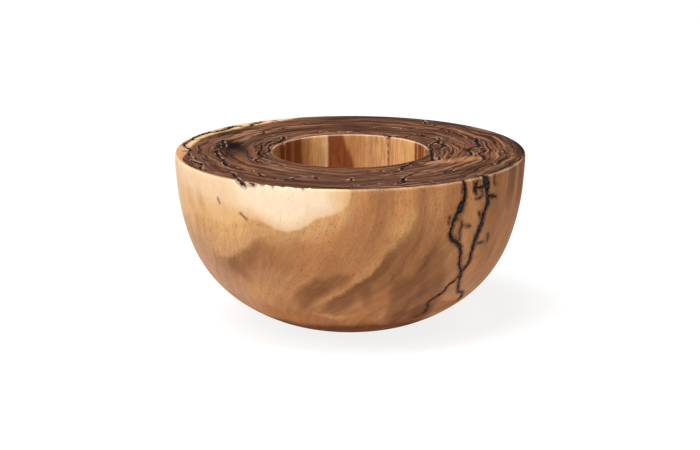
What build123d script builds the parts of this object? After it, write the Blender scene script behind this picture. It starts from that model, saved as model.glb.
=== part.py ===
from build123d import *
import math
import os

# Turned log chip and dip server, millimetres.
# Origin: centre of the base, on the surface that the pads stand on. +Z is up. The front is towards -Y.
# One log is turned to a flat-topped belly with a round dip well in the middle. Burnt channels branch over
# the top and down one side, and each connected channel holds its own cast fill.

# ---- driving dimensions -------------------------------------------------------------------------
TOTAL_HEIGHT = 153.0        # top face above the table
RIM_RADIUS = 152.5          # widest radius, at the rim
RIM_ROUND = 2.0             # round-over of the outer top edge
BASE_RADIUS = 44.0          # flat base of the log
PAD_HEIGHT = 1.6            # bumper pads under the base
PAD_RADIUS = 6.35
PAD_CIRCLE_RADIUS = 32.0
WELL_RADIUS = 67.5          # dip well wall
WELL_DEPTH = 42.0
WELL_FLOOR_ROUND = 8.0      # cove between the well's wall and floor
WELL_EDGE_ROUND = 1.3       # eased upper edge of the well
CHANNEL_DEPTH = 2.5         # burnt channels, from the surface
FILL_RECESS = 0.3           # the fill stands this much below the wood
FORK_AZIMUTH = 44.0         # degrees right of the front, the middle of the forked side channel

# Outer profile of the belly: (distance below the top face, radius), from just under the rim to the base.
BELLY = [(18.1, 151.6), (38.0, 149.5), (56.1, 145.8), (75.9, 139.7), (91.0, 132.7), (106.3, 122.6),
         (121.4, 107.9), (133.6, 90.8), (142.6, 73.3), (148.0, 58.5)]

# Channels on the top face, seen from above: strokes of (x, y, width).
TOP_CHANNELS = {
    "vein_fill_around_well": [
        [(-26, 79, 1.8), (-20, 82.5, 2.4), (-12, 79, 1.8), (-3, 77.5, 2.4), (6, 80, 2.6), (10.5, 79.3, 2.8),
         (15, 74, 2.6), (21, 72.6, 2.0), (26.5, 70, 3.0), (31.5, 64.8, 2.6), (36, 61, 3.0), (41, 60.8, 4.2),
         (46, 57.3, 3.0), (49.6, 54.6, 2.6)],
        [(49.6, 54.6, 2.6), (51.5, 60, 2.4), (56, 66.3, 3.0), (61, 67.5, 3.0), (64.6, 64.0, 3.2),
         (67.5, 57, 2.4), (72.5, 52.8, 3.0), (78.5, 52.4, 2.6), (79.4, 46, 2.6), (77.8, 38.5, 3.0),
         (78, 31, 3.0), (81.5, 26, 3.4), (83, 19, 3.6), (80.5, 12, 3.0), (76, 6.5, 3.0), (71.8, 3.5, 2.6),
         (70.8, -3, 2.4), (71.2, -11, 2.6), (70.5, -20, 2.8), (70.4, -30, 2.8), (71.0, -38, 2.6),
         (66.5, -43, 3.0), (60, -46, 2.8), (54.5, -50.3, 2.6), (51, -56, 3.0), (47, -62.5, 2.8),
         (43.9, -69, 2.8), (44.3, -75, 2.8), (42.6, -81, 2.6), (37.5, -85.8, 2.6), (31, -86, 2.0),
         (25, -82.4, 2.8), (18, -82, 2.8), (13, -84.5, 1.8), (8, -86, 2.6)],
        [(36, 61, 3.0), (33.4, 56.4, 2.6)],
        [(75.2, 35, 2.4), (73, 28, 2.6), (70.9, 21, 2.2), (70.9, 12, 2.0), (71.8, 3.5, 2.4)],
        [(77.8, 37.5, 2.6), (75.2, 35, 2.4)],
    ],
    "vein_fill_inner_left": [
        [(-58.5, 57, 2.2), (-59.2, 49, 3.0), (-61.7, 39, 4.0), (-65.7, 31, 4.0), (-70, 24.5, 3.6),
         (-78.2, 22.5, 2.6)],
        [(-78.2, 22.5, 2.4), (-77.5, 13, 2.8), (-77.8, 2, 2.2), (-79, -7, 2.4), (-78.4, -15, 4.0),
         (-76.4, -24.5, 3.6), (-79.8, -33, 3.0), (-80.5, -41, 2.4), (-77.2, -47, 3.0), (-71, -50.6, 2.6),
         (-65, -52, 3.0), (-60, -57, 2.8), (-55, -63.5, 2.2)],
        [(-70, 24.5, 3.2), (-71.2, 14, 2.2), (-70.4, 5, 2.0), (-70.6, -5, 2.0), (-73.6, -11, 2.6),
         (-78.4, -15, 3.0)],
    ],
    "vein_fill_mid_left": [
        [(-112, 46, 2.0), (-112.5, 38, 3.0), (-111.5, 28, 3.4), (-110.3, 18, 3.8), (-110.8, 9, 3.0),
         (-112.5, 3.8, 2.4), (-116.3, 0.5, 2.6), (-116.3, -6, 2.8), (-114.8, -14, 3.0), (-113.5, -22, 2.6),
         (-111.5, -31, 2.4), (-109, -38, 2.6), (-107.6, -46, 2.6), (-106.5, -55, 3.0), (-104, -62, 2.4),
         (-101.2, -66.5, 3.0), (-96, -71, 2.4), (-92.5, -75.5, 2.8), (-88, -79.5, 2.2), (-82.5, -82.5, 2.8)],
    ],
    "vein_fill_front_left": [
        [(-77.5, -88, 1.6), (-75.7, -96, 2.4), (-72.3, -101.5, 3.0), (-66, -105.3, 2.6), (-62, -109, 2.8),
         (-58, -113.2, 2.4), (-52.5, -114.5, 2.4), (-49.0, -110.0, 2.6), (-44.5, -106, 2.2),
         (-38, -104.5, 2.4), (-30.8, -103.8, 2.8), (-28.5, -108.5, 2.6), (-27, -114, 1.8)],
    ],
    "vein_fill_sapwood": [
        [(-79.5, 125, 2.0), (-83, 120.5, 3.4), (-88.3, 114, 2.4), (-89.6, 107.5, 2.2), (-93, 101.5, 1.8),
         (-98, 101.2, 2.0), (-101.0, 104.4, 2.6), (-106.5, 103.5, 3.0), (-109, 98, 3.0), (-111, 91.5, 3.2),
         (-114.5, 87, 2.4), (-118, 83, 3.0), (-121.5, 79.5, 2.2), (-126, 76.5, 3.2), (-129.8, 72, 3.6),
         (-134, 65, 2.4), (-137.2, 59.5, 2.6), (-139.8, 53, 3.0), (-140, 45, 2.2), (-143.0, 39.2, 2.0),
         (-144.5, 33, 2.4), (-145.7, 26, 2.4), (-145.2, 19, 2.2), (-142.8, 13.2, 2.0), (-140.2, 7.5, 2.4),
         (-139.6, -1, 1.8), (-139.8, -9, 1.6), (-138.5, -20, 1.5), (-136.4, -31, 1.6)],
        [(-139.8, -1.6, 1.8), (-144.0, -2.8, 2.2)],
    ],
    "vein_fill_rim_left": [
        [(-135.2, -40, 2.2), (-132, -47.5, 3.0), (-128, -52.5, 3.4), (-126.3, -62, 2.0), (-126.8, -71, 2.8),
         (-123.5, -76.2, 3.0), (-117, -81.3, 3.0), (-109.5, -84.3, 2.2), (-102, -86.3, 2.6),
         (-98.0, -91, 3.2), (-97.0, -98.5, 3.8), (-95.3, -105.2, 3.8), (-93.3, -112, 3.0),
         (-91.8, -118.5, 3.0), (-90.8, -124.5, 3.0)],
    ],
    "vein_fill_front_right": [
        [(86.5, -76.5, 2.0), (83.5, -81.7, 2.8), (79, -87.5, 2.0), (74, -89.0, 2.2), (68, -86.4, 2.8),
         (62, -86.5, 2.2), (57.5, -87, 2.8), (53.3, -90.5, 2.8), (50.5, -96.5, 2.8), (47.5, -103, 3.2),
         (44.5, -109.5, 2.6), (44.5, -117.5, 3.0), (44.6, -124.5, 3.0), (41.2, -129, 2.4),
         (34.5, -131, 2.6), (27, -131.6, 1.8), (19, -130.7, 2.6), (11, -133.4, 1.8), (4.5, -137.6, 2.4),
         (-4, -138.2, 1.6)],
        [(44.6, -124.5, 2.6), (50, -120.8, 2.2), (56, -120.2, 2.6), (62.5, -121.5, 2.0), (67, -124, 2.2)],
    ],
    "vein_fill_mid_right": [
        [(88.3, 86, 2.0), (89.4, 79.5, 3.0), (92.3, 74.6, 2.8), (96, 68.5, 2.2), (99, 61.5, 2.4),
         (102, 55.5, 2.4), (108, 53.0, 2.8), (112.5, 49.5, 2.8), (112, 43, 3.0), (111.3, 36.5, 3.2),
         (113, 29, 3.0), (113.4, 22, 3.4), (110.2, 14.8, 3.0), (105.8, 10.8, 3.0), (104, 5, 4.0),
         (102.7, -1, 3.0), (104.3, -8, 3.0), (105, -15, 2.8), (104.4, -20, 1.8)],
        [(111.5, 17.5, 2.0), (114.6, 10, 1.6), (116.2, 3, 2.0), (117.6, -3, 2.6), (113.5, -8.3, 2.4),
         (110.9, -13.5, 2.8), (113.5, -19.8, 3.0), (115.4, -25, 3.2), (114.6, -31, 3.0),
         (115.8, -36.5, 2.0)],
    ],
    "vein_fill_far_right": [
        [(133.8, -1.5, 2.0), (134.3, -7, 2.4), (136.2, -13, 2.0), (139.3, -17.6, 2.2), (142.8, -21.4, 2.2),
         (145.8, -24.4, 2.0)],
        [(133.8, -2.6, 2.0), (140, -2.6, 1.6)],
    ],
    "vein_fill_back_left": [
        [(-57, 101, 2.4), (-60, 95.5, 2.2), (-63.6, 91, 3.0), (-69.4, 88, 2.0), (-75.6, 86.2, 2.2),
         (-77.6, 80.5, 2.0), (-76.8, 75, 2.0), (-78, 69.5, 2.2), (-82, 65, 2.2), (-85, 59.8, 2.8)],
    ],
    "vein_fill_back": [
        [(20, 97.5, 1.4), (29, 96.5, 2.2), (37, 96.2, 2.6), (43.5, 95.4, 2.4), (47.5, 92.5, 2.2),
         (52.6, 92.3, 2.2), (57.3, 94.8, 3.0), (61.5, 93, 2.6), (65.5, 89, 2.2)],
    ],
    "vein_fill_specks": [
        [(-69.5, 130.0, 2.4), (-66.5, 126, 1.6)],
        [(-69.6, 122.0, 2.8), (-69.2, 118.8, 2.8)],
        [(-41.8, 115, 2.4), (-41.8, 111.8, 2.6)],
        [(66.6, 131.5, 2.2), (68, 126, 1.8), (69, 120.5, 2.4), (69, 114.6, 2.8)],
        [(77, 110.3, 2.4), (77, 106.4, 2.6)],
        [(1.6, -108.4, 1.8), (0.4, -117.6, 1.6)],
        [(-5.2, -117, 2.6), (-4.0, -115.2, 2.6)],
        [(120.3, -51, 1.6), (122.2, -58, 2.8)],
        [(77, -26, 1.6), (76.4, -38, 2.0)],
    ],
}

# The forked channel on the belly: strokes of (degrees right of the front, distance below the top face, width).
FORK_CHANNEL = [
    [(38.3, -2.0, 1.4), (38.7, 5, 2.2), (38.9, 12, 2.2), (38.5, 17, 3.0), (37.4, 22.4, 4.4), (35.7, 26.9, 2.8),
     (35.0, 31.9, 2.8), (34.4, 37.9, 2.2), (34.1, 43.8, 2.8), (35.2, 49.2, 3.0), (37.4, 53.6, 3.2),
     (39.3, 57.4, 3.0), (40.2, 62.3, 2.4), (40.4, 69, 2.0), (41.3, 75.1, 2.2), (42.9, 81.1, 2.4),
     (43.5, 85.7, 2.4)],
    [(48.6, -2.0, 2.2), (48.4, 5.5, 4.6), (48.9, 12, 2.6), (49.5, 19.0, 2.6), (49.6, 24.0, 3.2),
     (48.8, 29.9, 2.8), (48.3, 35.9, 2.6), (47.9, 42.8, 3.4), (46.9, 48.2, 3.8), (46.1, 54.5, 3.8),
     (45.8, 61.3, 3.4), (45.8, 68.0, 2.4), (46.0, 73.2, 2.4), (45.0, 78.4, 2.0), (43.6, 84.8, 2.0)],
    [(43.5, 84.4, 2.2), (44.6, 93.6, 1.8), (46.4, 100.0, 1.8), (48.0, 104.8, 1.8), (49.6, 106.0, 2.0),
     (51.6, 107.6, 2.0), (53.6, 110.6, 2.0), (55.4, 113.9, 1.6), (56.6, 117.7, 1.2)],
    [(43.4, 86.1, 1.8), (41.6, 90.6, 1.6), (39.5, 94.9, 1.5), (39.0, 99.5, 1.5), (36.9, 103.6, 1.5),
     (34.5, 107.6, 1.8), (33.7, 111.4, 1.4), (35.1, 115.0, 1.4), (35.4, 118.4, 1.3), (36.7, 122.1, 1.3),
     (35.0, 124.9, 1.2), (33.8, 127.6, 1.0)],
    [(49.5, 18.0, 1.6), (51.5, 18.6, 1.5), (54.0, 20.2, 1.2)],
]


# ---- helpers ------------------------------------------------------------------------------------
def outline(stroke):
    """Closed outline of a tapering stroke: its left side, a pointed tip, its right side, a pointed tip."""
    n = len(stroke)
    left, right = [], []
    for i, (x, y, w) in enumerate(stroke):
        a = stroke[max(i - 1, 0)]
        b = stroke[min(i + 1, n - 1)]
        dx, dy = 0.0, 0.0
        for p, q in ((a, (x, y)), ((x, y), b)):
            length = math.hypot(q[0] - p[0], q[1] - p[1])
            if length > 0:
                dx += (q[0] - p[0]) / length
                dy += (q[1] - p[1]) / length
        size = math.hypot(dx, dy)
        half = w / 2 * min(2 / size, 1.2) if 0 < i < n - 1 else w / 2
        left.append((x - dy / size * half, y + dx / size * half))
        right.append((x + dy / size * half, y - dx / size * half))
    tips = []
    for p, q in ((stroke[0], stroke[1]), (stroke[-1], stroke[-2])):
        length = math.hypot(q[0] - p[0], q[1] - p[1])
        tips.append((p[0] - (q[0] - p[0]) / length * p[2] * 0.45, p[1] - (q[1] - p[1]) / length * p[2] * 0.45))
    return [tips[0]] + left + [tips[1]] + right[::-1]


def belly_radius(depth):
    """Radius of the belly at a distance below the top face, between the listed profile points."""
    rows = [(0.0, RIM_RADIUS)] + BELLY + [(TOTAL_HEIGHT - PAD_HEIGHT, BASE_RADIUS)]
    for (d0, r0), (d1, r1) in zip(rows, rows[1:]):
        if depth <= d1:
            return r0 + (r1 - r0) * (depth - d0) / (d1 - d0)
    return BASE_RADIUS


def belly_inside(depth_in):
    """Profile points (r, z) of the belly, moved inwards along its normal."""
    rows = [(0.0, RIM_RADIUS)] + BELLY
    moved = []
    for i in range(1, len(rows) - 1):
        dr = rows[i + 1][1] - rows[i - 1][1]
        dd = rows[i + 1][0] - rows[i - 1][0]
        size = math.hypot(dr, dd)
        moved.append((rows[i][1] - dd / size * depth_in, TOTAL_HEIGHT - rows[i][0] - dr / size * -depth_in))
    return moved


# ---- turned body, before the channels are burnt -----------------------------------------------------
with BuildPart() as blank:
    with BuildSketch(Plane.XZ) as blank_profile:
        with BuildLine() as blank_line:
            rim_start = (RIM_RADIUS, TOTAL_HEIGHT - RIM_ROUND)
            belly = Spline(
                rim_start,
                *[(r, TOTAL_HEIGHT - d) for d, r in BELLY],
                (BASE_RADIUS, PAD_HEIGHT),
                tangents=[(0, -1), (-0.98, -0.19)],
            )
            Line((BASE_RADIUS, PAD_HEIGHT), (0, PAD_HEIGHT))
            Line((0, PAD_HEIGHT), (0, TOTAL_HEIGHT))
            Line((0, TOTAL_HEIGHT), (RIM_RADIUS - RIM_ROUND, TOTAL_HEIGHT))
            RadiusArc((RIM_RADIUS - RIM_ROUND, TOTAL_HEIGHT), rim_start, RIM_ROUND)
        make_face()
    revolve(axis=Axis.Z)

# The well, as the space it takes: a cylinder with a coved floor and a flared mouth.
with BuildPart() as well_space:
    with BuildSketch(Plane.XZ) as well_profile:
        floor_z = TOTAL_HEIGHT - WELL_DEPTH
        with BuildLine() as well_line:
            Line((0, floor_z), (WELL_RADIUS - WELL_FLOOR_ROUND, floor_z))
            CenterArc((WELL_RADIUS - WELL_FLOOR_ROUND, floor_z + WELL_FLOOR_ROUND), WELL_FLOOR_ROUND, 270, 90)
            Line((WELL_RADIUS, floor_z + WELL_FLOOR_ROUND), (WELL_RADIUS, TOTAL_HEIGHT - WELL_EDGE_ROUND))
            CenterArc((WELL_RADIUS + WELL_EDGE_ROUND, TOTAL_HEIGHT - WELL_EDGE_ROUND), WELL_EDGE_ROUND, 180, -90)
            Line((WELL_RADIUS + WELL_EDGE_ROUND, TOTAL_HEIGHT), (WELL_RADIUS + WELL_EDGE_ROUND, TOTAL_HEIGHT + 5))
            Line((WELL_RADIUS + WELL_EDGE_ROUND, TOTAL_HEIGHT + 5), (0, TOTAL_HEIGHT + 5))
            Line((0, TOTAL_HEIGHT + 5), (0, floor_z))
        make_face()
    revolve(axis=Axis.Z)

# The space that a fill may take: the turned body, less a thin skin, less the well.
with BuildPart() as fill_space:
    with BuildSketch(Plane.XZ) as fill_profile:
        with BuildLine() as fill_line:
            top_z = TOTAL_HEIGHT - FILL_RECESS
            rim_low = (RIM_RADIUS - FILL_RECESS, TOTAL_HEIGHT - RIM_ROUND)
            inner_points = belly_inside(FILL_RECESS)
            Spline(rim_low, *inner_points, tangents=[(0, -1), (-0.8, -0.6)])
            Line(inner_points[-1], (WELL_RADIUS + FILL_RECESS, inner_points[-1][1]))
            Line((WELL_RADIUS + FILL_RECESS, inner_points[-1][1]), (WELL_RADIUS + FILL_RECESS, TOTAL_HEIGHT - WELL_EDGE_ROUND))
            CenterArc((WELL_RADIUS + WELL_EDGE_ROUND, TOTAL_HEIGHT - WELL_EDGE_ROUND), WELL_EDGE_ROUND - FILL_RECESS, 180, -90)
            Line((WELL_RADIUS + WELL_EDGE_ROUND, top_z), (RIM_RADIUS - RIM_ROUND, top_z))
            RadiusArc((RIM_RADIUS - RIM_ROUND, top_z), rim_low, RIM_ROUND - FILL_RECESS)
        make_face()
    revolve(axis=Axis.Z)

# The outer shell of the belly, as deep as the side channel is burnt.
with BuildPart() as belly_shell:
    with BuildSketch(Plane.XZ) as shell_profile:
        with BuildLine() as shell_line:
            deep = belly_inside(CHANNEL_DEPTH)
            wide = belly_inside(-2.0)
            shell_top = TOTAL_HEIGHT + 1.0
            Line((RIM_RADIUS + 2.0, shell_top), (RIM_RADIUS - CHANNEL_DEPTH, shell_top))
            Line((RIM_RADIUS - CHANNEL_DEPTH, shell_top), (RIM_RADIUS - CHANNEL_DEPTH, TOTAL_HEIGHT - 4.0))
            Spline((RIM_RADIUS - CHANNEL_DEPTH, TOTAL_HEIGHT - 4.0), *deep, tangents=[(0, -1), (-0.8, -0.6)])
            Line(deep[-1], wide[-1])
            Spline((RIM_RADIUS + 2.0, TOTAL_HEIGHT - 4.0), *wide, tangents=[(0, -1), (-0.8, -0.6)])
            Line((RIM_RADIUS + 2.0, TOTAL_HEIGHT - 4.0), (RIM_RADIUS + 2.0, shell_top))
        make_face()
    revolve(axis=Axis.Z)

# ---- channel spaces -------------------------------------------------------------------------------
def top_channel(strokes):
    """The space burnt out of the top face by these strokes."""
    with BuildPart() as space:
        with BuildSketch(Plane.XY.offset(TOTAL_HEIGHT - CHANNEL_DEPTH)):
            for stroke in strokes:
                with BuildLine():
                    Polyline(*outline(stroke), close=True)
                make_face()
        extrude(amount=CHANNEL_DEPTH + 1.0)
    return space.part


azimuth = math.radians(FORK_AZIMUTH)
outward = Vector(math.sin(azimuth), -math.cos(azimuth), 0)
sideways = Vector(math.cos(azimuth), math.sin(azimuth), 0)
fork_plane = Plane(origin=outward * 20.0, x_dir=sideways, z_dir=outward)

with BuildPart() as fork_space:
    with BuildSketch(fork_plane):
        for fork_stroke in FORK_CHANNEL:
            flat = [(belly_radius(max(d, 0.0)) * math.sin(math.radians(a - FORK_AZIMUTH)), TOTAL_HEIGHT - d, w)
                    for a, d, w in fork_stroke]
            with BuildLine():
                Polyline(*outline(flat), close=True)
            make_face()
    extrude(amount=150.0)
    add(belly_shell.part, mode=Mode.INTERSECT)

channels = {"vein_fill_side_fork": fork_space.part}
for channel_name, channel_strokes in TOP_CHANNELS.items():
    channels[channel_name] = top_channel(channel_strokes)

os.makedirs("parts", exist_ok=True)

# ---- turned log -------------------------------------------------------------------------------------
with BuildPart() as wood_body:
    add(blank.part)
    add(well_space.part, mode=Mode.SUBTRACT)
    for channel in channels.values():
        add(channel, mode=Mode.SUBTRACT)
wood_body.part.label = "wood_body"
export_step(wood_body.part, "parts/wood_body.step")

# ---- fills: one node for each connected channel, and one for the small spots ----------------------------
for channel_name, channel in channels.items():
    with BuildPart() as fill:
        add(channel)
        add(fill_space.part, mode=Mode.INTERSECT)
    fill.part.label = channel_name
    export_step(fill.part, f"parts/{channel_name}.step")

# ---- bumper pads under the base ------------------------------------------------------------------------
with BuildPart() as foot_pads:
    with BuildSketch(Plane.XY):
        with PolarLocations(PAD_CIRCLE_RADIUS, 4, start_angle=45):
            Circle(PAD_RADIUS)
    extrude(amount=PAD_HEIGHT)
    chamfer(foot_pads.edges().filter_by(GeomType.CIRCLE).group_by(Axis.Z)[0], length=0.4)
foot_pads.part.label = "foot_pads"
export_step(foot_pads.part, "parts/foot_pads.step")
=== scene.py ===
import math
import bpy
import numpy as np
from mathutils import Matrix, Vector, geometry, kdtree, noise


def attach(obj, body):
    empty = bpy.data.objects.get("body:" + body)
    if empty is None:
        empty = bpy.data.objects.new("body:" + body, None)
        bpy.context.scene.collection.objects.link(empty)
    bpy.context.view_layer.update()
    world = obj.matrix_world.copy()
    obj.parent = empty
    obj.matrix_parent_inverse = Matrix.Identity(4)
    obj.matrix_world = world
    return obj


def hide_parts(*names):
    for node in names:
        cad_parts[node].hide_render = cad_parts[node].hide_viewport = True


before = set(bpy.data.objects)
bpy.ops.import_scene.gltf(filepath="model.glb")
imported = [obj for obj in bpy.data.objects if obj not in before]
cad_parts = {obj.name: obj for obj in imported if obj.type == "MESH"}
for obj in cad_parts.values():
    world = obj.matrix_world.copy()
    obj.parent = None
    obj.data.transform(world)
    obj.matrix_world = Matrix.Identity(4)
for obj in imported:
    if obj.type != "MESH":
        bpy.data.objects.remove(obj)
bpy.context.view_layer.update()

MM = 0.001

# =====================================================================================================
# sizes, as in the CAD model, in millimetres
# =====================================================================================================
HT = 153.0                   # top face
R_RIM, RIM_ROUND = 152.5, 2.0
Z_BASE, R_BASE = 1.6, 44.0
R_WELL, WELL_DEPTH, COVE, EDGE = 67.5, 42.0, 8.0, 1.3
BELLY = [(18.1, 151.6), (38.0, 149.5), (56.1, 145.8), (75.9, 139.7), (91.0, 132.7), (106.3, 122.6),
         (121.4, 107.9), (133.6, 90.8), (142.6, 73.3), (148.0, 58.5)]


# =====================================================================================================
# camera, floor and light
# =====================================================================================================
cam = bpy.data.cameras.new("Camera")
cam_ob = bpy.data.objects.new("Camera", cam)
bpy.context.scene.collection.objects.link(cam_ob)
bpy.context.scene.camera = cam_ob
cam.lens, cam.sensor_width, cam.sensor_fit = 146.65, 36.0, "HORIZONTAL"
cam.clip_start, cam.clip_end = 0.05, 60.0
cam_ob.location = (0.0, -2.42817, 0.67798)
cam_ob.rotation_euler = (math.radians(90 - 13.6985), 0.0, 0.0)

scene = bpy.context.scene
scene.view_settings.view_transform = "Standard"
scene.view_settings.look = "None"
scene.view_settings.exposure = 0.0
scene.view_settings.gamma = 1.0


def simple_nodes(mat):
    mat.use_nodes = True
    mat.node_tree.nodes.clear()
    return mat.node_tree


floor_mat = bpy.data.materials.new("studio_floor")
ft = simple_nodes(floor_mat)
f_out = ft.nodes.new("ShaderNodeOutputMaterial")
f_bsdf = ft.nodes.new("ShaderNodeBsdfPrincipled")
f_bsdf.inputs["Base Color"].default_value = (0.25, 0.25, 0.25, 1)
f_bsdf.inputs["Roughness"].default_value = 0.9
f_bsdf.inputs["Specular IOR Level"].default_value = 0.05
f_bsdf.inputs["Emission Color"].default_value = (1, 1, 1, 1)
f_bsdf.inputs["Emission Strength"].default_value = 0.84
ft.links.new(f_bsdf.outputs[0], f_out.inputs[0])
bpy.ops.mesh.primitive_circle_add(vertices=96, radius=9.0, fill_type="NGON", location=(0, 0, -0.0003))
floor = bpy.context.active_object
floor.name = "studio_floor"
floor.data.materials.append(floor_mat)

world = bpy.data.worlds.new("World")
scene.world = world
world.use_nodes = True
wt = world.node_tree
wt.nodes.clear()
w_out = wt.nodes.new("ShaderNodeOutputWorld")
w_bg = wt.nodes.new("ShaderNodeBackground")
w_bg.inputs[0].default_value = (1.0, 1.0, 1.0, 1)
w_bg.inputs[1].default_value = 0.14
wt.links.new(w_bg.outputs[0], w_out.inputs[0])


def aim(ob, target):
    d = Vector(target) - ob.location
    ob.rotation_euler = d.to_track_quat("-Z", "Y").to_euler()


def area(name, loc, target, size, power, color=(1, 1, 1)):
    l = bpy.data.lights.new(name, "AREA")
    l.shape, l.size, l.size_y = "RECTANGLE", size[0], size[1]
    l.energy, l.color = power, color
    o = bpy.data.objects.new(name, l)
    scene.collection.objects.link(o)
    o.location = loc
    aim(o, target)
    return o


sun = bpy.data.lights.new("key_sun", "SUN")
sun.energy, sun.angle, sun.color = 1.35, math.radians(35), (1.0, 0.985, 0.96)
sun_ob = bpy.data.objects.new("key_sun", sun)
scene.collection.objects.link(sun_ob)
sun_ob.location = (-1.5, -1.7, 2.0)
aim(sun_ob, (0, 0, 0.1))
area("top_soft", (-0.35, -0.55, 1.9), (0, 0, 0.12), (1.3, 0.9), 44)


# =====================================================================================================
# profile of the turned log: arc length t from the middle of the well floor, over the top, to the base edge
# =====================================================================================================
def hermite(points, tangents, step=0.4):
    out = []
    for i in range(len(points) - 1):
        p0, p1 = np.array(points[i]), np.array(points[i + 1])
        chord = np.linalg.norm(p1 - p0)
        m0, m1 = np.array(tangents[i]) * chord, np.array(tangents[i + 1]) * chord
        n = max(2, int(chord / step))
        for k in range(n):
            u = k / n
            out.append((2 * u**3 - 3 * u**2 + 1) * p0 + (u**3 - 2 * u**2 + u) * m0
                       + (-2 * u**3 + 3 * u**2) * p1 + (u**3 - u**2) * m1)
    out.append(np.array(points[-1], float))
    return out


def build_profile():
    pts = []
    zf = HT - WELL_DEPTH
    rc = R_WELL - COVE
    pts += [(r, zf) for r in np.arange(0, rc, 0.5)]
    marks = {}
    marks["cove"] = (rc, zf)
    pts += [(rc + COVE * math.sin(a), zf + COVE - COVE * math.cos(a)) for a in np.linspace(0, math.pi / 2, 30)[:-1]]
    marks["wall"] = (R_WELL, zf + COVE)
    pts += [(R_WELL, z) for z in np.arange(zf + COVE, HT - EDGE, 0.4)]
    marks["edge"] = (R_WELL, HT - EDGE)
    pts += [(R_WELL + EDGE - EDGE * math.cos(a), HT - EDGE + EDGE * math.sin(a)) for a in np.linspace(0, math.pi / 2, 16)[:-1]]
    marks["top"] = (R_WELL + EDGE, HT)
    pts += [(r, HT) for r in np.arange(R_WELL + EDGE, R_RIM - RIM_ROUND, 0.5)]
    marks["rim"] = (R_RIM - RIM_ROUND, HT)
    pts += [(R_RIM - RIM_ROUND + RIM_ROUND * math.sin(a), HT - RIM_ROUND + RIM_ROUND * math.cos(a)) for a in np.linspace(0, math.pi / 2, 20)[:-1]]
    marks["belly"] = (R_RIM, HT - RIM_ROUND)
    bp = [(R_RIM, HT - RIM_ROUND)] + [(r, HT - d) for d, r in BELLY] + [(R_BASE, Z_BASE)]
    tg = [(0.0, -1.0)]
    for i in range(1, len(bp) - 1):
        v = np.array(bp[i + 1]) - np.array(bp[i - 1])
        tg.append(tuple(v / np.linalg.norm(v)))
    tg.append((-0.98, -0.19))
    pts += [tuple(p) for p in hermite(bp, tg)]
    P = np.array(pts)
    T = np.concatenate([[0], np.cumsum(np.linalg.norm(np.diff(P, axis=0), axis=1))])
    where = {k: float(T[np.argmin(np.linalg.norm(P - np.array(v), axis=1))]) for k, v in marks.items()}
    return P, T, where


PROF, PT, MARK = build_profile()
T_COVE, T_WALL, T_EDGE, T_TOP, T_RIM, T_BELLY = (MARK[k] for k in ("cove", "wall", "edge", "top", "rim", "belly"))
T_END = float(PT[-1])
# conformal radius: the surface's map to a plane that keeps every small shape
LN = np.zeros(len(PT))
_start = np.searchsorted(PT, 20.0)
LN[_start] = math.log(PROF[_start, 0])
for _i in range(_start + 1, len(PT)):
    LN[_i] = LN[_i - 1] + (PT[_i] - PT[_i - 1]) * 2 / (PROF[_i, 0] + PROF[_i - 1, 0])
for _i in range(_start - 1, 0, -1):
    LN[_i] = math.log(PROF[_i, 0])
LN[0] = -4.0
_tan = np.gradient(PROF, PT, axis=0)
_tan /= np.linalg.norm(_tan, axis=1)[:, None]


def prof(t):
    return np.interp(t, PT, PROF[:, 0]), np.interp(t, PT, PROF[:, 1])


def surf(t, a):
    """Point on the turned surface at arc length t and angle a (radians right of the front)."""
    r, z = prof(t)
    return np.stack([r * np.sin(a), -r * np.cos(a), z + 0 * np.asarray(a)], -1)


def surf_normal(t, a):
    tr, tz = np.interp(t, PT, _tan[:, 0]), np.interp(t, PT, _tan[:, 1])
    s = np.hypot(tr, tz)
    nr, nz = -tz / s, tr / s
    return np.stack([nr * np.sin(a), -nr * np.cos(a), nz + 0 * np.asarray(a)], -1)


def t_of_top(r):
    return T_TOP + (r - (R_WELL + EDGE))


_bel = PT >= T_BELLY - 1e-6
_bz, _bt = PROF[_bel, 1][::-1], PT[_bel][::-1]


def t_of_depth(d):
    """Arc length on the outside at a distance below the top face; negative distances run back over the rim."""
    d = np.asarray(d, float)
    down = np.interp(HT - d, _bz, _bt)
    over = T_BELLY - (RIM_ROUND - d) * (math.pi / 2)
    return np.where(d < RIM_ROUND, over, down)


def noise_at(points, size, seed=0.0):
    """Smooth noise, about -1 to 1, one value for each point, of that feature size in millimetres."""
    off = Vector((seed * 17.3, seed * 5.1, seed * 9.7))
    return np.array([noise.noise(Vector(p) / size + off) for p in points]) * 1.6


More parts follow.
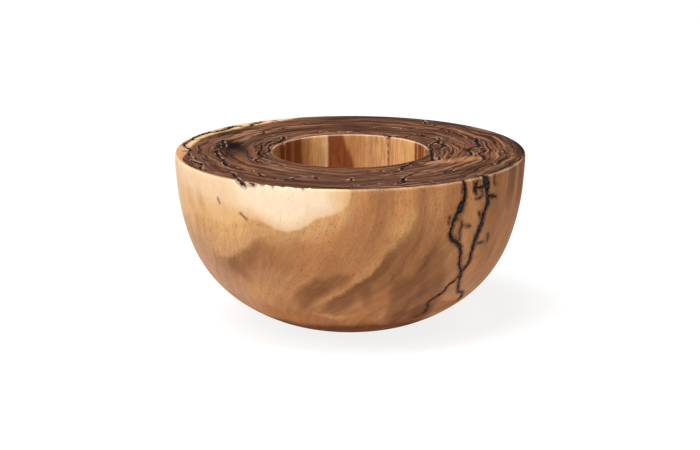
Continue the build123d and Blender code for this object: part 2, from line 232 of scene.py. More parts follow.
# =====================================================================================================
# burnt channels: strokes as in the CAD model, with finer twigs and hairline cracks added
# =====================================================================================================
TOP_CHANNELS = {
    "vein_fill_around_well": [
        [(-26, 79, 1.8), (-20, 82.5, 2.4), (-12, 79, 1.8), (-3, 77.5, 2.4), (6, 80, 2.6), (10.5, 79.3, 2.8),
         (15, 74, 2.6), (21, 72.6, 2.0), (26.5, 70, 3.0), (31.5, 64.8, 2.6), (36, 61, 3.0), (41, 60.8, 4.2),
         (46, 57.3, 3.0), (49.6, 54.6, 2.6)],
        [(49.6, 54.6, 2.6), (51.5, 60, 2.4), (56, 66.3, 3.0), (61, 67.5, 3.0), (64.6, 64.0, 3.2),
         (67.5, 57, 2.4), (72.5, 52.8, 3.0), (78.5, 52.4, 2.6), (79.4, 46, 2.6), (77.8, 38.5, 3.0),
         (78, 31, 3.0), (81.5, 26, 3.4), (83, 19, 3.6), (80.5, 12, 3.0), (76, 6.5, 3.0), (71.8, 3.5, 2.6),
         (70.8, -3, 2.4), (71.2, -11, 2.6), (70.5, -20, 2.8), (70.4, -30, 2.8), (71.0, -38, 2.6),
         (66.5, -43, 3.0), (60, -46, 2.8), (54.5, -50.3, 2.6), (51, -56, 3.0), (47, -62.5, 2.8),
         (43.9, -69, 2.8), (44.3, -75, 2.8), (42.6, -81, 2.6), (37.5, -85.8, 2.6), (31, -86, 2.0),
         (25, -82.4, 2.8), (18, -82, 2.8), (13, -84.5, 1.8), (8, -86, 2.6)],
        [(36, 61, 1.7), (34.4, 58.2, 1.4)],
        [(75.2, 35, 2.4), (73, 28, 2.6), (70.9, 21, 2.2), (70.9, 12, 2.0), (71.8, 3.5, 2.4)],
        [(77.8, 37.5, 2.6), (75.2, 35, 2.4)],
    ],
    "vein_fill_inner_left": [
        [(-58.5, 57, 2.2), (-59.2, 49, 3.0), (-61.7, 39, 4.0), (-65.7, 31, 4.0), (-70, 24.5, 3.6),
         (-78.2, 22.5, 2.6)],
        [(-78.2, 22.5, 2.4), (-77.5, 13, 2.8), (-77.8, 2, 2.2), (-79, -7, 2.4), (-78.4, -15, 4.0),
         (-76.4, -24.5, 3.6), (-79.8, -33, 3.0), (-80.5, -41, 2.4), (-77.2, -47, 3.0), (-71, -50.6, 2.6),
         (-65, -52, 3.0), (-60, -57, 2.8), (-55, -63.5, 2.2)],
        [(-70, 24.5, 3.2), (-71.2, 14, 2.2), (-70.4, 5, 2.0), (-70.6, -5, 2.0), (-73.6, -11, 2.6),
         (-78.4, -15, 3.0)],
    ],
    "vein_fill_mid_left": [
        [(-112, 46, 2.0), (-112.5, 38, 3.0), (-111.5, 28, 3.4), (-110.3, 18, 3.8), (-110.8, 9, 3.0),
         (-112.5, 3.8, 2.4), (-116.3, 0.5, 2.6), (-116.3, -6, 2.8), (-114.8, -14, 3.0), (-113.5, -22, 2.6),
         (-111.5, -31, 2.4), (-109, -38, 2.6), (-107.6, -46, 2.6), (-106.5, -55, 3.0), (-104, -62, 2.4),
         (-101.2, -66.5, 3.0), (-96, -71, 2.4), (-92.5, -75.5, 2.8), (-88, -79.5, 2.2), (-82.5, -82.5, 2.8)],
    ],
    "vein_fill_front_left": [
        [(-77.5, -88, 1.6), (-75.7, -96, 2.4), (-72.3, -101.5, 3.0), (-66, -105.3, 2.6), (-62, -109, 2.8),
         (-58, -113.2, 2.4), (-52.5, -114.5, 2.4), (-49.0, -110.0, 2.6), (-44.5, -106, 2.2),
         (-38, -104.5, 2.4), (-30.8, -103.8, 2.8), (-28.5, -108.5, 2.6), (-27, -114, 1.8)],
    ],
    "vein_fill_sapwood": [
        [(-79.5, 125, 3.0), (-83, 120.5, 5.5), (-88.3, 114, 4.1), (-89.6, 107.5, 3.8), (-93, 101.5, 2.6),
         (-98, 101.2, 3.0), (-101.0, 104.4, 4.5), (-106.5, 103.5, 5.1), (-109, 98, 5.1), (-111, 91.5, 5.5),
         (-114.5, 87, 4.1), (-118, 83, 5.1), (-121.5, 79.5, 3.8), (-126, 76.5, 5.5), (-129.8, 72, 5.5),
         (-134, 65, 4.1), (-137.2, 59.5, 4.5), (-139.8, 53, 5.1), (-140, 45, 2.5), (-143.0, 39.2, 2.0),
         (-144.5, 33, 2.8), (-145.7, 26, 2.8), (-145.2, 19, 2.5), (-142.8, 13.2, 2.0), (-140.2, 7.5, 2.8),
         (-139.6, -1, 1.8), (-139.8, -9, 1.6), (-138.5, -20, 1.5), (-136.4, -31, 1.6)],
        [(-139.8, -1.6, 1.8), (-144.0, -2.8, 2.5)],
    ],
    "vein_fill_rim_left": [
        [(-135.2, -40, 2.2), (-132, -47.5, 3.0), (-128, -52.5, 3.4), (-126.3, -62, 2.0), (-126.8, -71, 2.8),
         (-123.5, -76.2, 3.0), (-117, -81.3, 3.0), (-109.5, -84.3, 2.2), (-102, -86.3, 2.6),
         (-98.0, -91, 2.8), (-97.0, -98.5, 2.8), (-95.3, -105.2, 2.2), (-93.3, -112, 1.8),
         (-91.8, -118.5, 1.8), (-90.8, -124.5, 1.8)],
    ],
    "vein_fill_front_right": [
        [(86.5, -76.5, 2.0), (83.5, -81.7, 2.8), (79, -87.5, 2.0), (74, -89.0, 2.2), (68, -86.4, 2.8),
         (62, -86.5, 2.2), (57.5, -87, 2.8), (53.3, -90.5, 2.8), (50.5, -96.5, 2.8), (47.5, -103, 3.2),
         (44.5, -109.5, 2.6), (44.5, -117.5, 3.0), (44.6, -124.5, 3.0), (41.2, -129, 2.4),
         (34.5, -131, 2.6), (27, -131.6, 1.8), (19, -130.7, 2.6), (11, -133.4, 1.8), (4.5, -137.6, 2.4),
         (-4, -138.2, 1.6)],
        [(44.6, -124.5, 2.6), (50, -120.8, 2.2), (56, -120.2, 2.6), (62.5, -121.5, 2.0), (67, -124, 2.2)],
    ],
    "vein_fill_mid_right": [
        [(88.3, 86, 2.0), (89.4, 79.5, 3.0), (92.3, 74.6, 2.8), (96, 68.5, 2.2), (99, 61.5, 2.4),
         (102, 55.5, 2.4), (108, 53.0, 2.8), (112.5, 49.5, 2.8), (112, 43, 3.0), (111.3, 36.5, 3.2),
         (113, 29, 3.0), (113.4, 22, 3.4), (110.2, 14.8, 3.0), (105.8, 10.8, 3.0), (104, 5, 4.0),
         (102.7, -1, 3.0), (104.3, -8, 3.0), (105, -15, 2.8), (104.4, -20, 1.8)],
        [(111.5, 17.5, 2.0), (114.6, 10, 1.6), (116.2, 3, 2.0), (117.6, -3, 2.6), (113.5, -8.3, 2.4),
         (110.9, -13.5, 2.8), (113.5, -19.8, 3.0), (115.4, -25, 3.2), (114.6, -31, 3.0),
         (115.8, -36.5, 2.0)],
    ],
    "vein_fill_far_right": [
        [(133.8, -1.5, 2.0), (134.3, -7, 2.4), (136.2, -13, 2.0), (139.3, -17.6, 2.2), (142.8, -21.4, 2.2),
         (145.8, -24.4, 2.0)],
        [(133.8, -2.6, 2.0), (140, -2.6, 1.6)],
    ],
    "vein_fill_back_left": [
        [(-57, 101, 2.4), (-60, 95.5, 2.2), (-63.6, 91, 3.0), (-69.4, 88, 2.0), (-75.6, 86.2, 2.2),
         (-77.6, 80.5, 2.0), (-76.8, 75, 2.0), (-78, 69.5, 2.2), (-82, 65, 2.2), (-85, 59.8, 2.8)],
    ],
    "vein_fill_back": [
        [(20, 97.5, 1.4), (29, 96.5, 2.2), (37, 96.2, 2.6), (43.5, 95.4, 2.4), (47.5, 92.5, 2.2),
         (52.6, 92.3, 2.2), (57.3, 94.8, 3.0), (61.5, 93, 2.6), (65.5, 89, 2.2)],
    ],
    "vein_fill_specks": [
        [(-69.5, 130.0, 2.4), (-66.5, 126, 1.6)],
        [(-69.6, 122.0, 2.8), (-69.2, 118.8, 2.8)],
        [(-41.8, 115, 2.4), (-41.8, 111.8, 2.6)],
        [(66.6, 131.5, 2.2), (68, 126, 1.8), (69, 120.5, 2.4), (69, 114.6, 2.8)],
        [(77, 110.3, 2.4), (77, 106.4, 2.6)],
        [(1.6, -108.4, 1.8), (0.4, -117.6, 1.6)],
        [(-5.2, -117, 2.6), (-4.0, -115.2, 2.6)],
        [(120.3, -51, 1.6), (122.2, -58, 2.8)],
        [(77, -26, 1.6), (76.4, -38, 2.0)],
    ],
}

# side strokes: (degrees right of the front, distance below the top face, width)
SIDE_CHANNELS = {
    "vein_fill_side_fork": [
        [(38.4, -2.0, 1.4), (38.6, 3, 1.9), (38.9, 8, 2.5), (39.1, 13, 2.9), (38.8, 17.5, 3.4), (38.0, 21.0, 4.6),
         (37.1, 24.4, 3.4), (36.0, 27.2, 1.9), (35.7, 30.5, 2.8), (35.3, 33.5, 2.6), (34.9, 36.5, 1.8), (34.4, 41, 1.8),
         (34.2, 44.6, 2.4), (35.2, 49.2, 2.6), (37.4, 53.6, 2.8), (39.3, 57.4, 2.6), (40.2, 62.3, 2.0), (40.4, 69, 1.7),
         (41.3, 75.1, 1.9), (42.9, 81.1, 2.1), (43.5, 85.7, 2.2)],
        [(38.6, 20.5, 2.6), (38.0, 23.0, 4.4), (37.7, 25.6, 3.4)],
        [(48.2, -2.0, 3.6), (48.2, 0.8, 6.0), (48.3, 3.6, 8.0), (48.7, 6.8, 7.6), (48.9, 9.2, 5.8), (49.1, 11.6, 3.8), (49.3, 14.0, 3.0),
         (49.4, 17.0, 2.8), (49.8, 20.4, 3.2), (49.9, 24.4, 4.6), (49.3, 27.2, 3.0), (48.9, 31.5, 2.8), (48.4, 34.9, 4.4),
         (47.9, 38.6, 3.4), (47.9, 42.8, 4.2), (46.9, 48.2, 4.0), (46.1, 54.5, 3.6), (45.8, 61.3, 2.9), (45.8, 68.0, 2.1),
         (46.0, 73.2, 2.1), (45.0, 78.4, 1.8), (43.6, 84.8, 1.9)],
        [(44.6, 3.0, 1.4), (43.9, 5.4, 3.0), (43.4, 8.0, 3.6), (43.5, 10.6, 2.4), (44.0, 13.0, 1.3)],
        [(47.2, 8.2, 2.0), (45.6, 8.8, 1.3), (44.2, 8.2, 1.6)],
        [(43.5, 84.4, 2.0), (44.6, 93.6, 1.6), (46.4, 100.0, 1.6), (48.0, 104.8, 1.6), (49.6, 106.0, 1.9),
         (51.6, 107.6, 1.9), (53.6, 110.6, 1.8), (55.4, 113.9, 1.4), (56.6, 117.7, 1.1)],
        [(43.4, 86.1, 1.6), (41.6, 90.6, 1.3), (39.5, 94.9, 1.2), (39.0, 99.5, 1.2), (36.9, 103.6, 1.2),
         (34.5, 107.6, 1.6), (33.7, 111.4, 1.2), (35.1, 115.0, 1.2), (35.4, 118.4, 1.1), (36.7, 122.1, 1.1),
         (35.0, 124.9, 1.0), (33.8, 127.6, 0.9)],
        [(49.9, 17.6, 1.6), (51.4, 18.4, 1.5), (53.0, 19.8, 1.5), (54.3, 20.9, 1.1)],
    ],
}

# hairline cracks and scorched twigs with no fill in them
SIDE_HAIRS = [
    [(38.5, 36, 0.9), (38.6, 40, 0.8), (38.1, 43, 0.7), (38.5, 47, 0.9), (38.8, 52, 0.9)],
    [(40.9, 40, 0.8), (41.6, 39.4, 0.9), (42.2, 40.6, 0.7)],
    [(43.9, 17.2, 0.9), (44.8, 17.9, 0.9), (45.8, 17.3, 1.0), (46.6, 16.4, 1.3), (46.9, 14.6, 0.8), (46.8, 12.8, 0.9),
     (46.0, 12.0, 0.7)],
    [(37.9, 3.4, 0.9), (37.9, 6.6, 1.0), (37.8, 10, 0.6)],
    [(42.5, 2.8, 0.8), (42.6, 6.4, 0.9)],
    [(52.8, 1.6, 0.7), (52.6, 5.0, 0.9), (53.1, 9.2, 0.7)],
    [(45.8, 30.2, 0.9), (46.5, 33.4, 1.2), (47.3, 35.6, 1.0)],
    [(46.9, 57, 0.8), (48.2, 58.8, 0.8), (50.6, 59.2, 0.6)],
    [(52.4, 53, 0.7), (53.3, 56, 0.8), (53.0, 59.4, 0.6)],
    [(33.3, 29.5, 0.7), (33.5, 34.5, 0.9)],
    [(-46.9, 18.6, 0.5), (-46.4, 22.0, 0.8)],
    [(-37.4, 27.6, 0.5), (-36.4, 29.0, 0.8), (-35.0, 31.2, 0.8)],
]
TOP_HAIRS = [
    [(-126, 62, 0.9), (-124.8, 55, 1.0), (-123.8, 48, 0.8)],
    [(-135, -52, 0.9), (-133.6, -61, 1.0), (-130.6, -68.5, 0.9)],
    [(-146.2, 25.2, 2.2), (-149.6, 22.4, 2.0)],
    [(-145.2, 38.2, 1.6), (-147.6, 36.8, 1.6)],
    [(-113.6, 98.5, 2.2), (-111.4, 93, 2.0)],
    [(-54, -46, 0.9), (-51, -52, 1.0)],
    [(104, -63, 1.2), (97, -65.5, 1.5), (91, -66, 1.0)],
    [(14, -110, 0.9), (18, -116.5, 1.0), (26, -116.5, 1.1)],
    [(-30, -146.2, 1.0), (-20, -147.4, 1.0), (-10, -147.6, 0.8)],
    [(-83.5, 84.5, 1.6), (-79, 87, 1.2)],
    [(8.5, 144, 0.8), (-1.5, 146, 1.0), (-2, 139, 0.8)],
    [(-34, 70.5, 1.0), (-22, 75.5, 1.4), (-6, 78, 1.5), (6, 76.5, 1.7), (14, 74.4, 1.9)],
    [(-52, -66.5, 1.1), (-40, -74.5, 1.5), (-26, -80.5, 1.4), (-10, -84, 1.0)],
    [(4, -88, 1.1), (14, -90.3, 1.7), (26, -90.2, 1.4), (37, -93.5, 1.6), (45, -92.4, 1.2)],
    [(96, 104, 0.8), (88, 100, 1.2), (82, 92, 1.3), (86, 84, 1.0)],
    [(128, 62, 0.8), (121, 66, 1.2), (112, 64, 0.9)],
    [(-46, 84, 0.9), (-32, 92, 1.1), (-14, 97, 0.9), (2, 97.5, 0.8)],
]


def smooth_stroke(points, wide):
    """Catmull-Rom through the points of a stroke, resampled evenly; the last column is the width."""
    P = np.array(points, float)
    P = np.vstack([2 * P[0] - P[1], P, 2 * P[-1] - P[-2]])
    fine = []
    for i in range(1, len(P) - 2):
        p0, p1, p2, p3 = P[i - 1], P[i], P[i + 1], P[i + 2]
        for u in np.linspace(0, 1, 24, endpoint=False):
            fine.append(0.5 * ((2 * p1) + (-p0 + p2) * u + (2 * p0 - 5 * p1 + 4 * p2 - p3) * u**2
                               + (-p0 + 3 * p1 - 3 * p2 + p3) * u**3))
    fine.append(P[-2])
    F = np.array(fine)
    L = np.concatenate([[0], np.cumsum(np.hypot(np.diff(F[:, 0]) * wide[0], np.diff(F[:, 1]) * wide[1]))])
    n = max(3, int(round(L[-1] / STEP)) + 1)
    at = np.linspace(0, L[-1], n)
    return np.stack([np.interp(at, L, F[:, k]) for k in range(3)], -1)


STEP = 0.62                    # distance between mesh rows along a channel, mm


class Stroke:
    def __init__(self, node, t, a, w, hair=False):
        self.node, self.t, self.a, self.w, self.hair = node, t, a, w, hair


def top_stroke(node, pts, hair=False):
    S = smooth_stroke(pts, (1, 1))
    x, y, w = S.T
    q = np.stack([x, y, 0 * x], -1)
    wob = 0.35 if hair else 0.55
    x = x + wob * noise_at(q, 3.1, 3) + 0.25 * noise_at(q, 1.4, 5)
    y = y + wob * noise_at(q, 3.1, 4) + 0.25 * noise_at(q, 1.4, 6)
    r = np.hypot(x, y)
    over = np.maximum(r - (R_RIM - RIM_ROUND), 0)
    w = w * (0.84 + 0.22 * noise_at(q, 5.0, 11))
    return Stroke(node, t_of_top(np.minimum(r, R_RIM - RIM_ROUND)) + over, np.arctan2(x, -y), np.maximum(w, 0.8), hair)


def side_stroke(node, pts, hair=False):
    P = np.array(pts, float)
    rr = prof(t_of_depth(P[:, 1]))[0]
    S = smooth_stroke([(t_of_depth(d), math.radians(a), w) for (a, d, w) in pts], (1, float(rr.mean())))
    t, a, w = S.T
    q = surf(t, a)
    t = t + 0.45 * noise_at(q, 3.1, 7) + 0.25 * noise_at(q, 1.4, 9)
    a = a + (0.5 * noise_at(q, 3.3, 8) + 0.25 * noise_at(q, 1.4, 10)) / prof(t)[0]
    return Stroke(node, t, a, w, hair)


strokes = []
for _node, _lists in TOP_CHANNELS.items():
    strokes += [top_stroke(_node, s) for s in _lists]
for _node, _lists in SIDE_CHANNELS.items():
    strokes += [side_stroke(_node, s) for s in _lists]
# the front left channel runs over the rim and drips down the side
strokes.append(side_stroke("vein_fill_rim_left", [(-36.4, -1.5, 1.6), (-35.9, 1.0, 1.7), (-34.6, 3.2, 0.9)]))
strokes.append(side_stroke("vein_fill_rim_left", [(-33.2, 0.2, 1.0), (-32.0, 1.0, 1.8), (-31.0, 0.7, 1.0)]))
strokes += [side_stroke("hair", s, True) for s in SIDE_HAIRS]
strokes += [top_stroke("hair", s, True) for s in TOP_HAIRS]
strokes += [side_stroke("hair", s, True) for s in (
    [(-29.4, 0.2, 1.0), (-28.6, 1.0, 1.5), (-28.0, 0.7, 0.9)], [(-25.6, 0.2, 0.9), (-24.8, 1.0, 1.2)],
    [(-22.0, -0.6, 1.0), (-21.4, 0.2, 1.2)], [(-17.6, -0.8, 1.2), (-17.0, 0.0, 1.0)],
    [(-15.0, -0.8, 1.2), (-14.7, 0.9, 0.9)])]

centres, widths, owners = [], [], []
for s in strokes:
    p = surf(s.t, s.a)
    centres.append(p)
    widths.append(s.w)
    owners += [("hair" if s.hair else s.node)] * len(p)
centres, widths = np.vstack(centres), np.concatenate(widths)
tree = kdtree.KDTree(len(centres))
for _i, _p in enumerate(centres):
    tree.insert(Vector(_p), _i)
tree.balance()


def edge_noise(p):
    v = Vector(p)
    return 0.9 * noise.noise(v / 1.3) + 1.0 * noise.noise(v / 3.4 + Vector((31, 7, 2))) - 0.04


def vein_distance(points, reach=7.0):
    """Signed distance from each point to the edge of the nearest channel, and that channel's owner."""
    d = np.full(len(points), reach)
    own = ["" for _ in points]
    for i, p in enumerate(points):
        best = reach
        v = Vector(p)
        for co, k, dist in tree.find_n(v, 4):
            e = dist - widths[k] / 2
            if e < best:
                best = e
                own[i] = owners[k]
        if best < reach:
            d[i] = min(best - (edge_noise(p) * (0.4 if own[i] == "hair" else 1.0) if best < 4 else 0), reach)
    return d, own


# ---- rows of points that follow each channel --------------------------------------------------------------
def channel_rows():
    rows = []                              # (priority, t, a, spacing)
    for s in strokes:
        base = surf(s.t, s.a)
        r = prof(s.t)[0]
        # direction across the stroke, in (t, hoop) millimetres
        dt, dh = np.gradient(s.t), np.gradient(s.a) * r
        size = np.maximum(np.hypot(dt, dh), 1e-9)
        ct, ch = -dh / size, dt / size
        levels = [(0, 0.0), (1, -0.32), (2, 0.38), (3, 0.8), (4, -0.75)] if not s.hair else [(0, 0.1), (2, 0.6)]
        for pr, e in levels:
            for side in (-1, 1):
                for i in range(len(s.t)):
                    o = s.w[i] / 2 + e
                    for _ in range(2):
                        q = surf(s.t[i] + side * o * ct[i], s.a[i] + side * o * ch[i] / r[i])
                        o = s.w[i] / 2 + e + edge_noise(q) * (0.4 if s.hair else 1.0)
                    if o > 0.14:
                        rows.append((pr, s.t[i] + side * o * ct[i], s.a[i] + side * o * ch[i] / r[i], 0.3))
        for i in range(len(s.t)):
            rows.append((4, s.t[i], s.a[i], 0.34))
        for pr, e, skip, gap in ((6, 1.6, 2, 0.8), (7, 3.2, 4, 1.6)):
            for side in (-1, 1):
                for i in range(0, len(s.t), skip):
                    o = s.w[i] / 2 + e
                    rows.append((pr, s.t[i] + side * o * ct[i], s.a[i] + side * o * ch[i] / r[i], gap))
        # round the tips
        for end, sgn in ((0, -1), (len(s.t) - 1, 1)):
            for e in (0.0, 0.38, 0.8, 1.8):
                o = s.w[end] / 2 + e
                for ang in np.linspace(-1.2, 1.2, 5):
                    at, ah = dt[end] / size[end] * sgn, dh[end] / size[end] * sgn
                    ca, sa = math.cos(ang), math.sin(ang)
                    rows.append((5, s.t[end] + o * (at * ca - ah * sa), s.a[end] + o * (at * sa + ah * ca) / r[end], 0.36))
    rows.sort(key=lambda q: q[0])
    return rows


def background_rows():
    rows = []
    ts = list(np.linspace(0, T_COVE, 15)[1:]) + list(np.linspace(T_COVE, T_WALL, 6)[1:]) \
        + list(np.linspace(T_WALL, T_EDGE, 11)[1:]) + list(np.linspace(T_EDGE, T_TOP, 5)[1:]) \
        + list(np.linspace(T_TOP, T_RIM, 28)[1:]) + list(np.linspace(T_RIM, T_BELLY, 6)[1:]) \
        + list(np.linspace(T_BELLY, T_END, 80)[1:])
    for j, t in enumerate(ts):
        r = float(prof(t)[0])
        gap = 4.0 if t < T_COVE else 1.7 if t < T_EDGE - 1e-4 else 0.9 if t < T_TOP + 1e-4 else 3.0 if t < T_RIM - 1 else 2.6
        n = max(6, int(round(2 * math.pi * r / gap)))
        if abs(t - T_END) < 1e-6:
            n = 96
        for k in range(n):
            rows.append((9 if abs(t - T_END) > 1e-6 else -1, t, 2 * math.pi * (k + 0.5 * (j % 2)) / n - math.pi, 1.3))
    return rows


def gather():
    cells, T, A = {}, [], []
    size = 0.5

    def near(p, gap):
        k = int(math.ceil(gap / size))
        c = [int(math.floor(v / size)) for v in p]
        for i in range(c[0] - k, c[0] + k + 1):
            for j in range(c[1] - k, c[1] + k + 1):
                for m in range(c[2] - k, c[2] + k + 1):
                    for q in cells.get((i, j, m), ()):
                        if (q[0] - p[0])**2 + (q[1] - p[1])**2 + (q[2] - p[2])**2 < gap * gap:
                            return True
        return False

    rows = channel_rows()
    tt = np.array([r[1] for r in rows])
    aa = np.array([r[2] for r in rows])
    pts = surf(tt, aa)
    for (pr, t, a, gap), p in zip(rows, pts):
        if t < T_WALL or t > T_END - 3 or near(p, gap):
            continue
        cells.setdefault(tuple(int(math.floor(v / size)) for v in p), []).append(p)
        T.append(t)
        A.append(a)
    rows = background_rows()
    tt = np.array([r[1] for r in rows])
    aa = np.array([r[2] for r in rows])
    pts = surf(tt, aa)
    d, _ = vein_distance(pts)
    for (pr, t, a, gap), p, dd in zip(rows, pts, d):
        if pr == 9 and (dd < 2.2 or (dd < 6.9 and near(p, 1.2))):
            continue
        T.append(t)
        A.append(a)
    T.append(0.0)
    A.append(0.0)
    return np.array(T), np.array(A)


VT, VA = gather()
L = np.interp(VT, PT, LN)
W = np.exp(L)
plane = np.stack([W * np.sin(VA), -W * np.cos(VA)], -1)
plane[-1] = (0, 0)
got = geometry.delaunay_2d_cdt([Vector(p) for p in plane], [], [], 0, 1e-5, True)
orig = [o[0] if o else -1 for o in got[3]]
assert min(orig) >= 0
VT, VA = VT[orig], VA[orig]
tris = np.array([f for f in got[2]], int)

base = surf(VT, VA)
normal = surf_normal(VT, VA)
r_all = np.hypot(base[:, 0], base[:, 1])
normal[r_all < 0.01] = (0, 0, 1)
# make every triangle face outwards
n_tri = np.cross(base[tris[:, 1]] - base[tris[:, 0]], base[tris[:, 2]] - base[tris[:, 0]])
facing = (n_tri * normal[tris].mean(1)).sum(1)
tris[facing < 0] = tris[facing < 0][:, ::-1]
VD, OWN = vein_distance(base)

hair = np.array([o == "hair" for o in OWN])


def groove_depth(d, hair):
    x = [-5, -0.8, -0.34, 0.0, 0.38, 0.8, 9]
    y = [2.3, 2.3, 1.75, 0.48, 0.07, 0.0, 0.0]
    h = [0.5, 0.5, 0.42, 0.22, 0.04, 0.0, 0.0]
    return np.where(hair, np.interp(d, x, h), np.interp(d, x, y))


depth = groove_depth(VD, hair)
wood_co = base - normal * depth[:, None]


def make_mesh(name, co_mm, faces):
    me = bpy.data.meshes.new(name)
    me.vertices.add(len(co_mm))
    me.vertices.foreach_set("co", (np.asarray(co_mm) * MM).astype(np.float32).ravel())
    faces = np.asarray(faces, np.int32)
    me.loops.add(faces.size)
    me.loops.foreach_set("vertex_index", faces.ravel())
    me.polygons.add(len(faces))
    me.polygons.foreach_set("loop_start", np.arange(0, faces.size, 3, dtype=np.int32))
    me.polygons.foreach_set("use_smooth", np.ones(len(faces), bool))
    me.update(calc_edges=True)
    me.validate()
    ob = bpy.data.objects.new(name, me)
    scene.collection.objects.link(ob)
    return ob


# ---- close the log underneath: rings from the base edge to its middle ---------------------------------------
edge_ids = np.where(np.abs(VT - T_END) < 1e-4)[0]
edge_ids = edge_ids[np.argsort(VA[edge_ids])]
n_edge = len(edge_ids)
rings = [edge_ids]
extra_co, extra_faces = [], []
next_id = len(base)
edge_a = VA[edge_ids]
for k, rr in enumerate((42.0, 38.5, 34.5, 30.0, 25.0, 20.0, 15.0, 10.0, 5.5)):
    ids = np.arange(next_id, next_id + n_edge)
    next_id += n_edge
    zz = Z_BASE + (0.0 if rr > 40 else 0.0)
    extra_co.append(np.stack([rr * np.sin(edge_a), -rr * np.cos(edge_a), np.full(n_edge, zz)], -1))
    rings.append(ids)
mid = next_id
extra_co.append(np.array([[0, 0, Z_BASE]]))
for a_ring, b_ring in zip(rings, rings[1:]):
    for i in range(n_edge):
        j = (i + 1) % n_edge
        extra_faces += [(a_ring[i], b_ring[i], a_ring[j]), (a_ring[j], b_ring[i], b_ring[j])]
for i in range(n_edge):
    extra_faces.append((rings[-1][i], mid, rings[-1][(i + 1) % n_edge]))
extra_faces = np.array(extra_faces)
all_co = np.vstack([wood_co] + extra_co)
nn = np.cross(all_co[extra_faces[:, 1]] - all_co[extra_faces[:, 0]], all_co[extra_faces[:, 2]] - all_co[extra_faces[:, 0]])
extra_faces[nn[:, 2] > 0] = extra_faces[nn[:, 2] > 0][:, ::-1]
wood = make_mesh("turned_log", all_co, np.vstack([tris, extra_faces]))

# ---- fills: the surface inside each channel, lowered a little, and the channel's own floor -------------------
inside = (VD < 0.08) & ~hair
fill_nodes = sorted(set(TOP_CHANNELS) | set(SIDE_CHANNELS))
code = {n: i for i, n in enumerate(fill_nodes)}
owner_code = np.array([code.get(o, -1) for o in OWN])
tri_in = inside[tris].all(1)
tri_owner = owner_code[tris]
fills = {}
lump = 0.22 * noise_at(base[inside], 1.6, 21) + 0.18 * noise_at(base[inside], 4.0, 22)
fill_depth = np.zeros(len(base))
fill_depth[inside] = np.clip(0.55 + lump, 0.25, 1.3)
def without_pinches(f):
    """Drop the smaller fan of faces wherever two parts of a channel touch at one point only."""
    while True:
        edges = {(int(u), int(v)) for t in f for u, v in ((t[0], t[1]), (t[1], t[2]), (t[2], t[0]))}
        starts = [u for u, v in edges if (v, u) not in edges]
        pinched = sorted({u for u in starts if starts.count(u) > 1}) if len(set(starts)) < len(starts) else []
        if not pinched:
            return f
        drop = set()
        for u in pinched:
            left = [i for i in np.where((f == u).any(1))[0]]
            fans = []
            while left:
                fan = [left.pop()]
                for i in fan:
                    for j in list(left):
                        if len(set(f[i].tolist()) & set(f[j].tolist())) == 2:
                            fan.append(j)
                            left.remove(j)
                fans.append(fan)
            fans.sort(key=len)
            for fan in fans[:-1]:
                drop.update(fan)
        f = np.delete(f, sorted(drop), axis=0)


def without_crumbs(f, least=8):
    """Leave out islands of only a few faces."""
    parent = {}

    def root(a):
        while parent.setdefault(a, a) != a:
            a = parent[a]
        return a

    for a, b, c in f.tolist():
        parent[root(a)] = root(b)
        parent[root(b)] = root(c)
    roots = np.array([root(a) for a in f[:, 0].tolist()])
    names, counts = np.unique(roots, return_counts=True)
    return f[np.isin(roots, names[counts >= least])]


for name in fill_nodes:
    mine = tri_in & (np.sort(tri_owner, axis=1)[:, 1] == code[name])
    f = without_crumbs(without_pinches(tris[mine]))
    if len(f) == 0:
        raise RuntimeError("no fill for " + name)
    ids, inv = np.unique(f, return_inverse=True)
    f = inv.reshape(f.shape)
    edges = {}
    for a, b, c in f:
        for u, v in ((a, b), (b, c), (c, a)):
            edges[(u, v)] = edges.get((u, v), 0) + 1
    border = [(u, v) for (u, v) in edges if (v, u) not in edges]
    rim_v = np.zeros(len(ids), bool)
    for u, v in border:
        rim_v[u] = rim_v[v] = True
    wd = depth[ids]
    top_d = np.where(rim_v, wd - 0.03, np.minimum(fill_depth[ids], wd - 0.1))
    low_d = np.where(rim_v, wd + 0.06, wd - 0.02)
    top = base[ids] - normal[ids] * top_d[:, None]
    low = base[ids] - normal[ids] * low_d[:, None]
    n = len(ids)
    faces = [f, f[:, ::-1] + n]
    walls = []
    for u, v in border:
        walls += [(v, u, u + n), (v, u + n, v + n)]
    ob = make_mesh(name.replace("vein_fill", "char_resin"), np.vstack([top, low]), np.vstack(faces + [np.array(walls)]))
    fills[name] = ob

for name, ob in fills.items():
    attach(ob, "root")
    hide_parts(name)
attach(wood, "root")
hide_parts("wood_body")

# =====================================================================================================
# wood colour: a low-frequency colour painted on the vertices, finer grain in the shader
# =====================================================================================================
def lin(c):
    c = np.array(c, float) / 255.0
    return np.where(c <= 0.04045, c / 12.92, ((c + 0.055) / 1.055)**2.4)


def smooth(x, lo, hi):
    u = np.clip((x - lo) / (hi - lo), 0, 1)
    return u * u * (3 - 2 * u)


n_all = len(all_co)
all_t = np.concatenate([VT, np.full(n_all - len(VT), T_END)])
all_r = np.hypot(all_co[:, 0], all_co[:, 1])
all_t[len(VT):] = T_END + (R_BASE - all_r[len(VT):])
all_a = np.concatenate([VA, np.arctan2(all_co[len(VA):, 0], -all_co[len(VA):, 1])])
all_d = np.concatenate([VD, np.full(n_all - len(VD), 7.0)])
phi = np.degrees(all_a)
down = np.clip(HT - all_co[:, 2], 0, HT)
is_side = all_t > T_RIM
is_wall = (all_t > T_COVE) & (all_t < T_EDGE + 1)
is_top = (all_t >= T_EDGE) & (all_t <= T_BELLY)


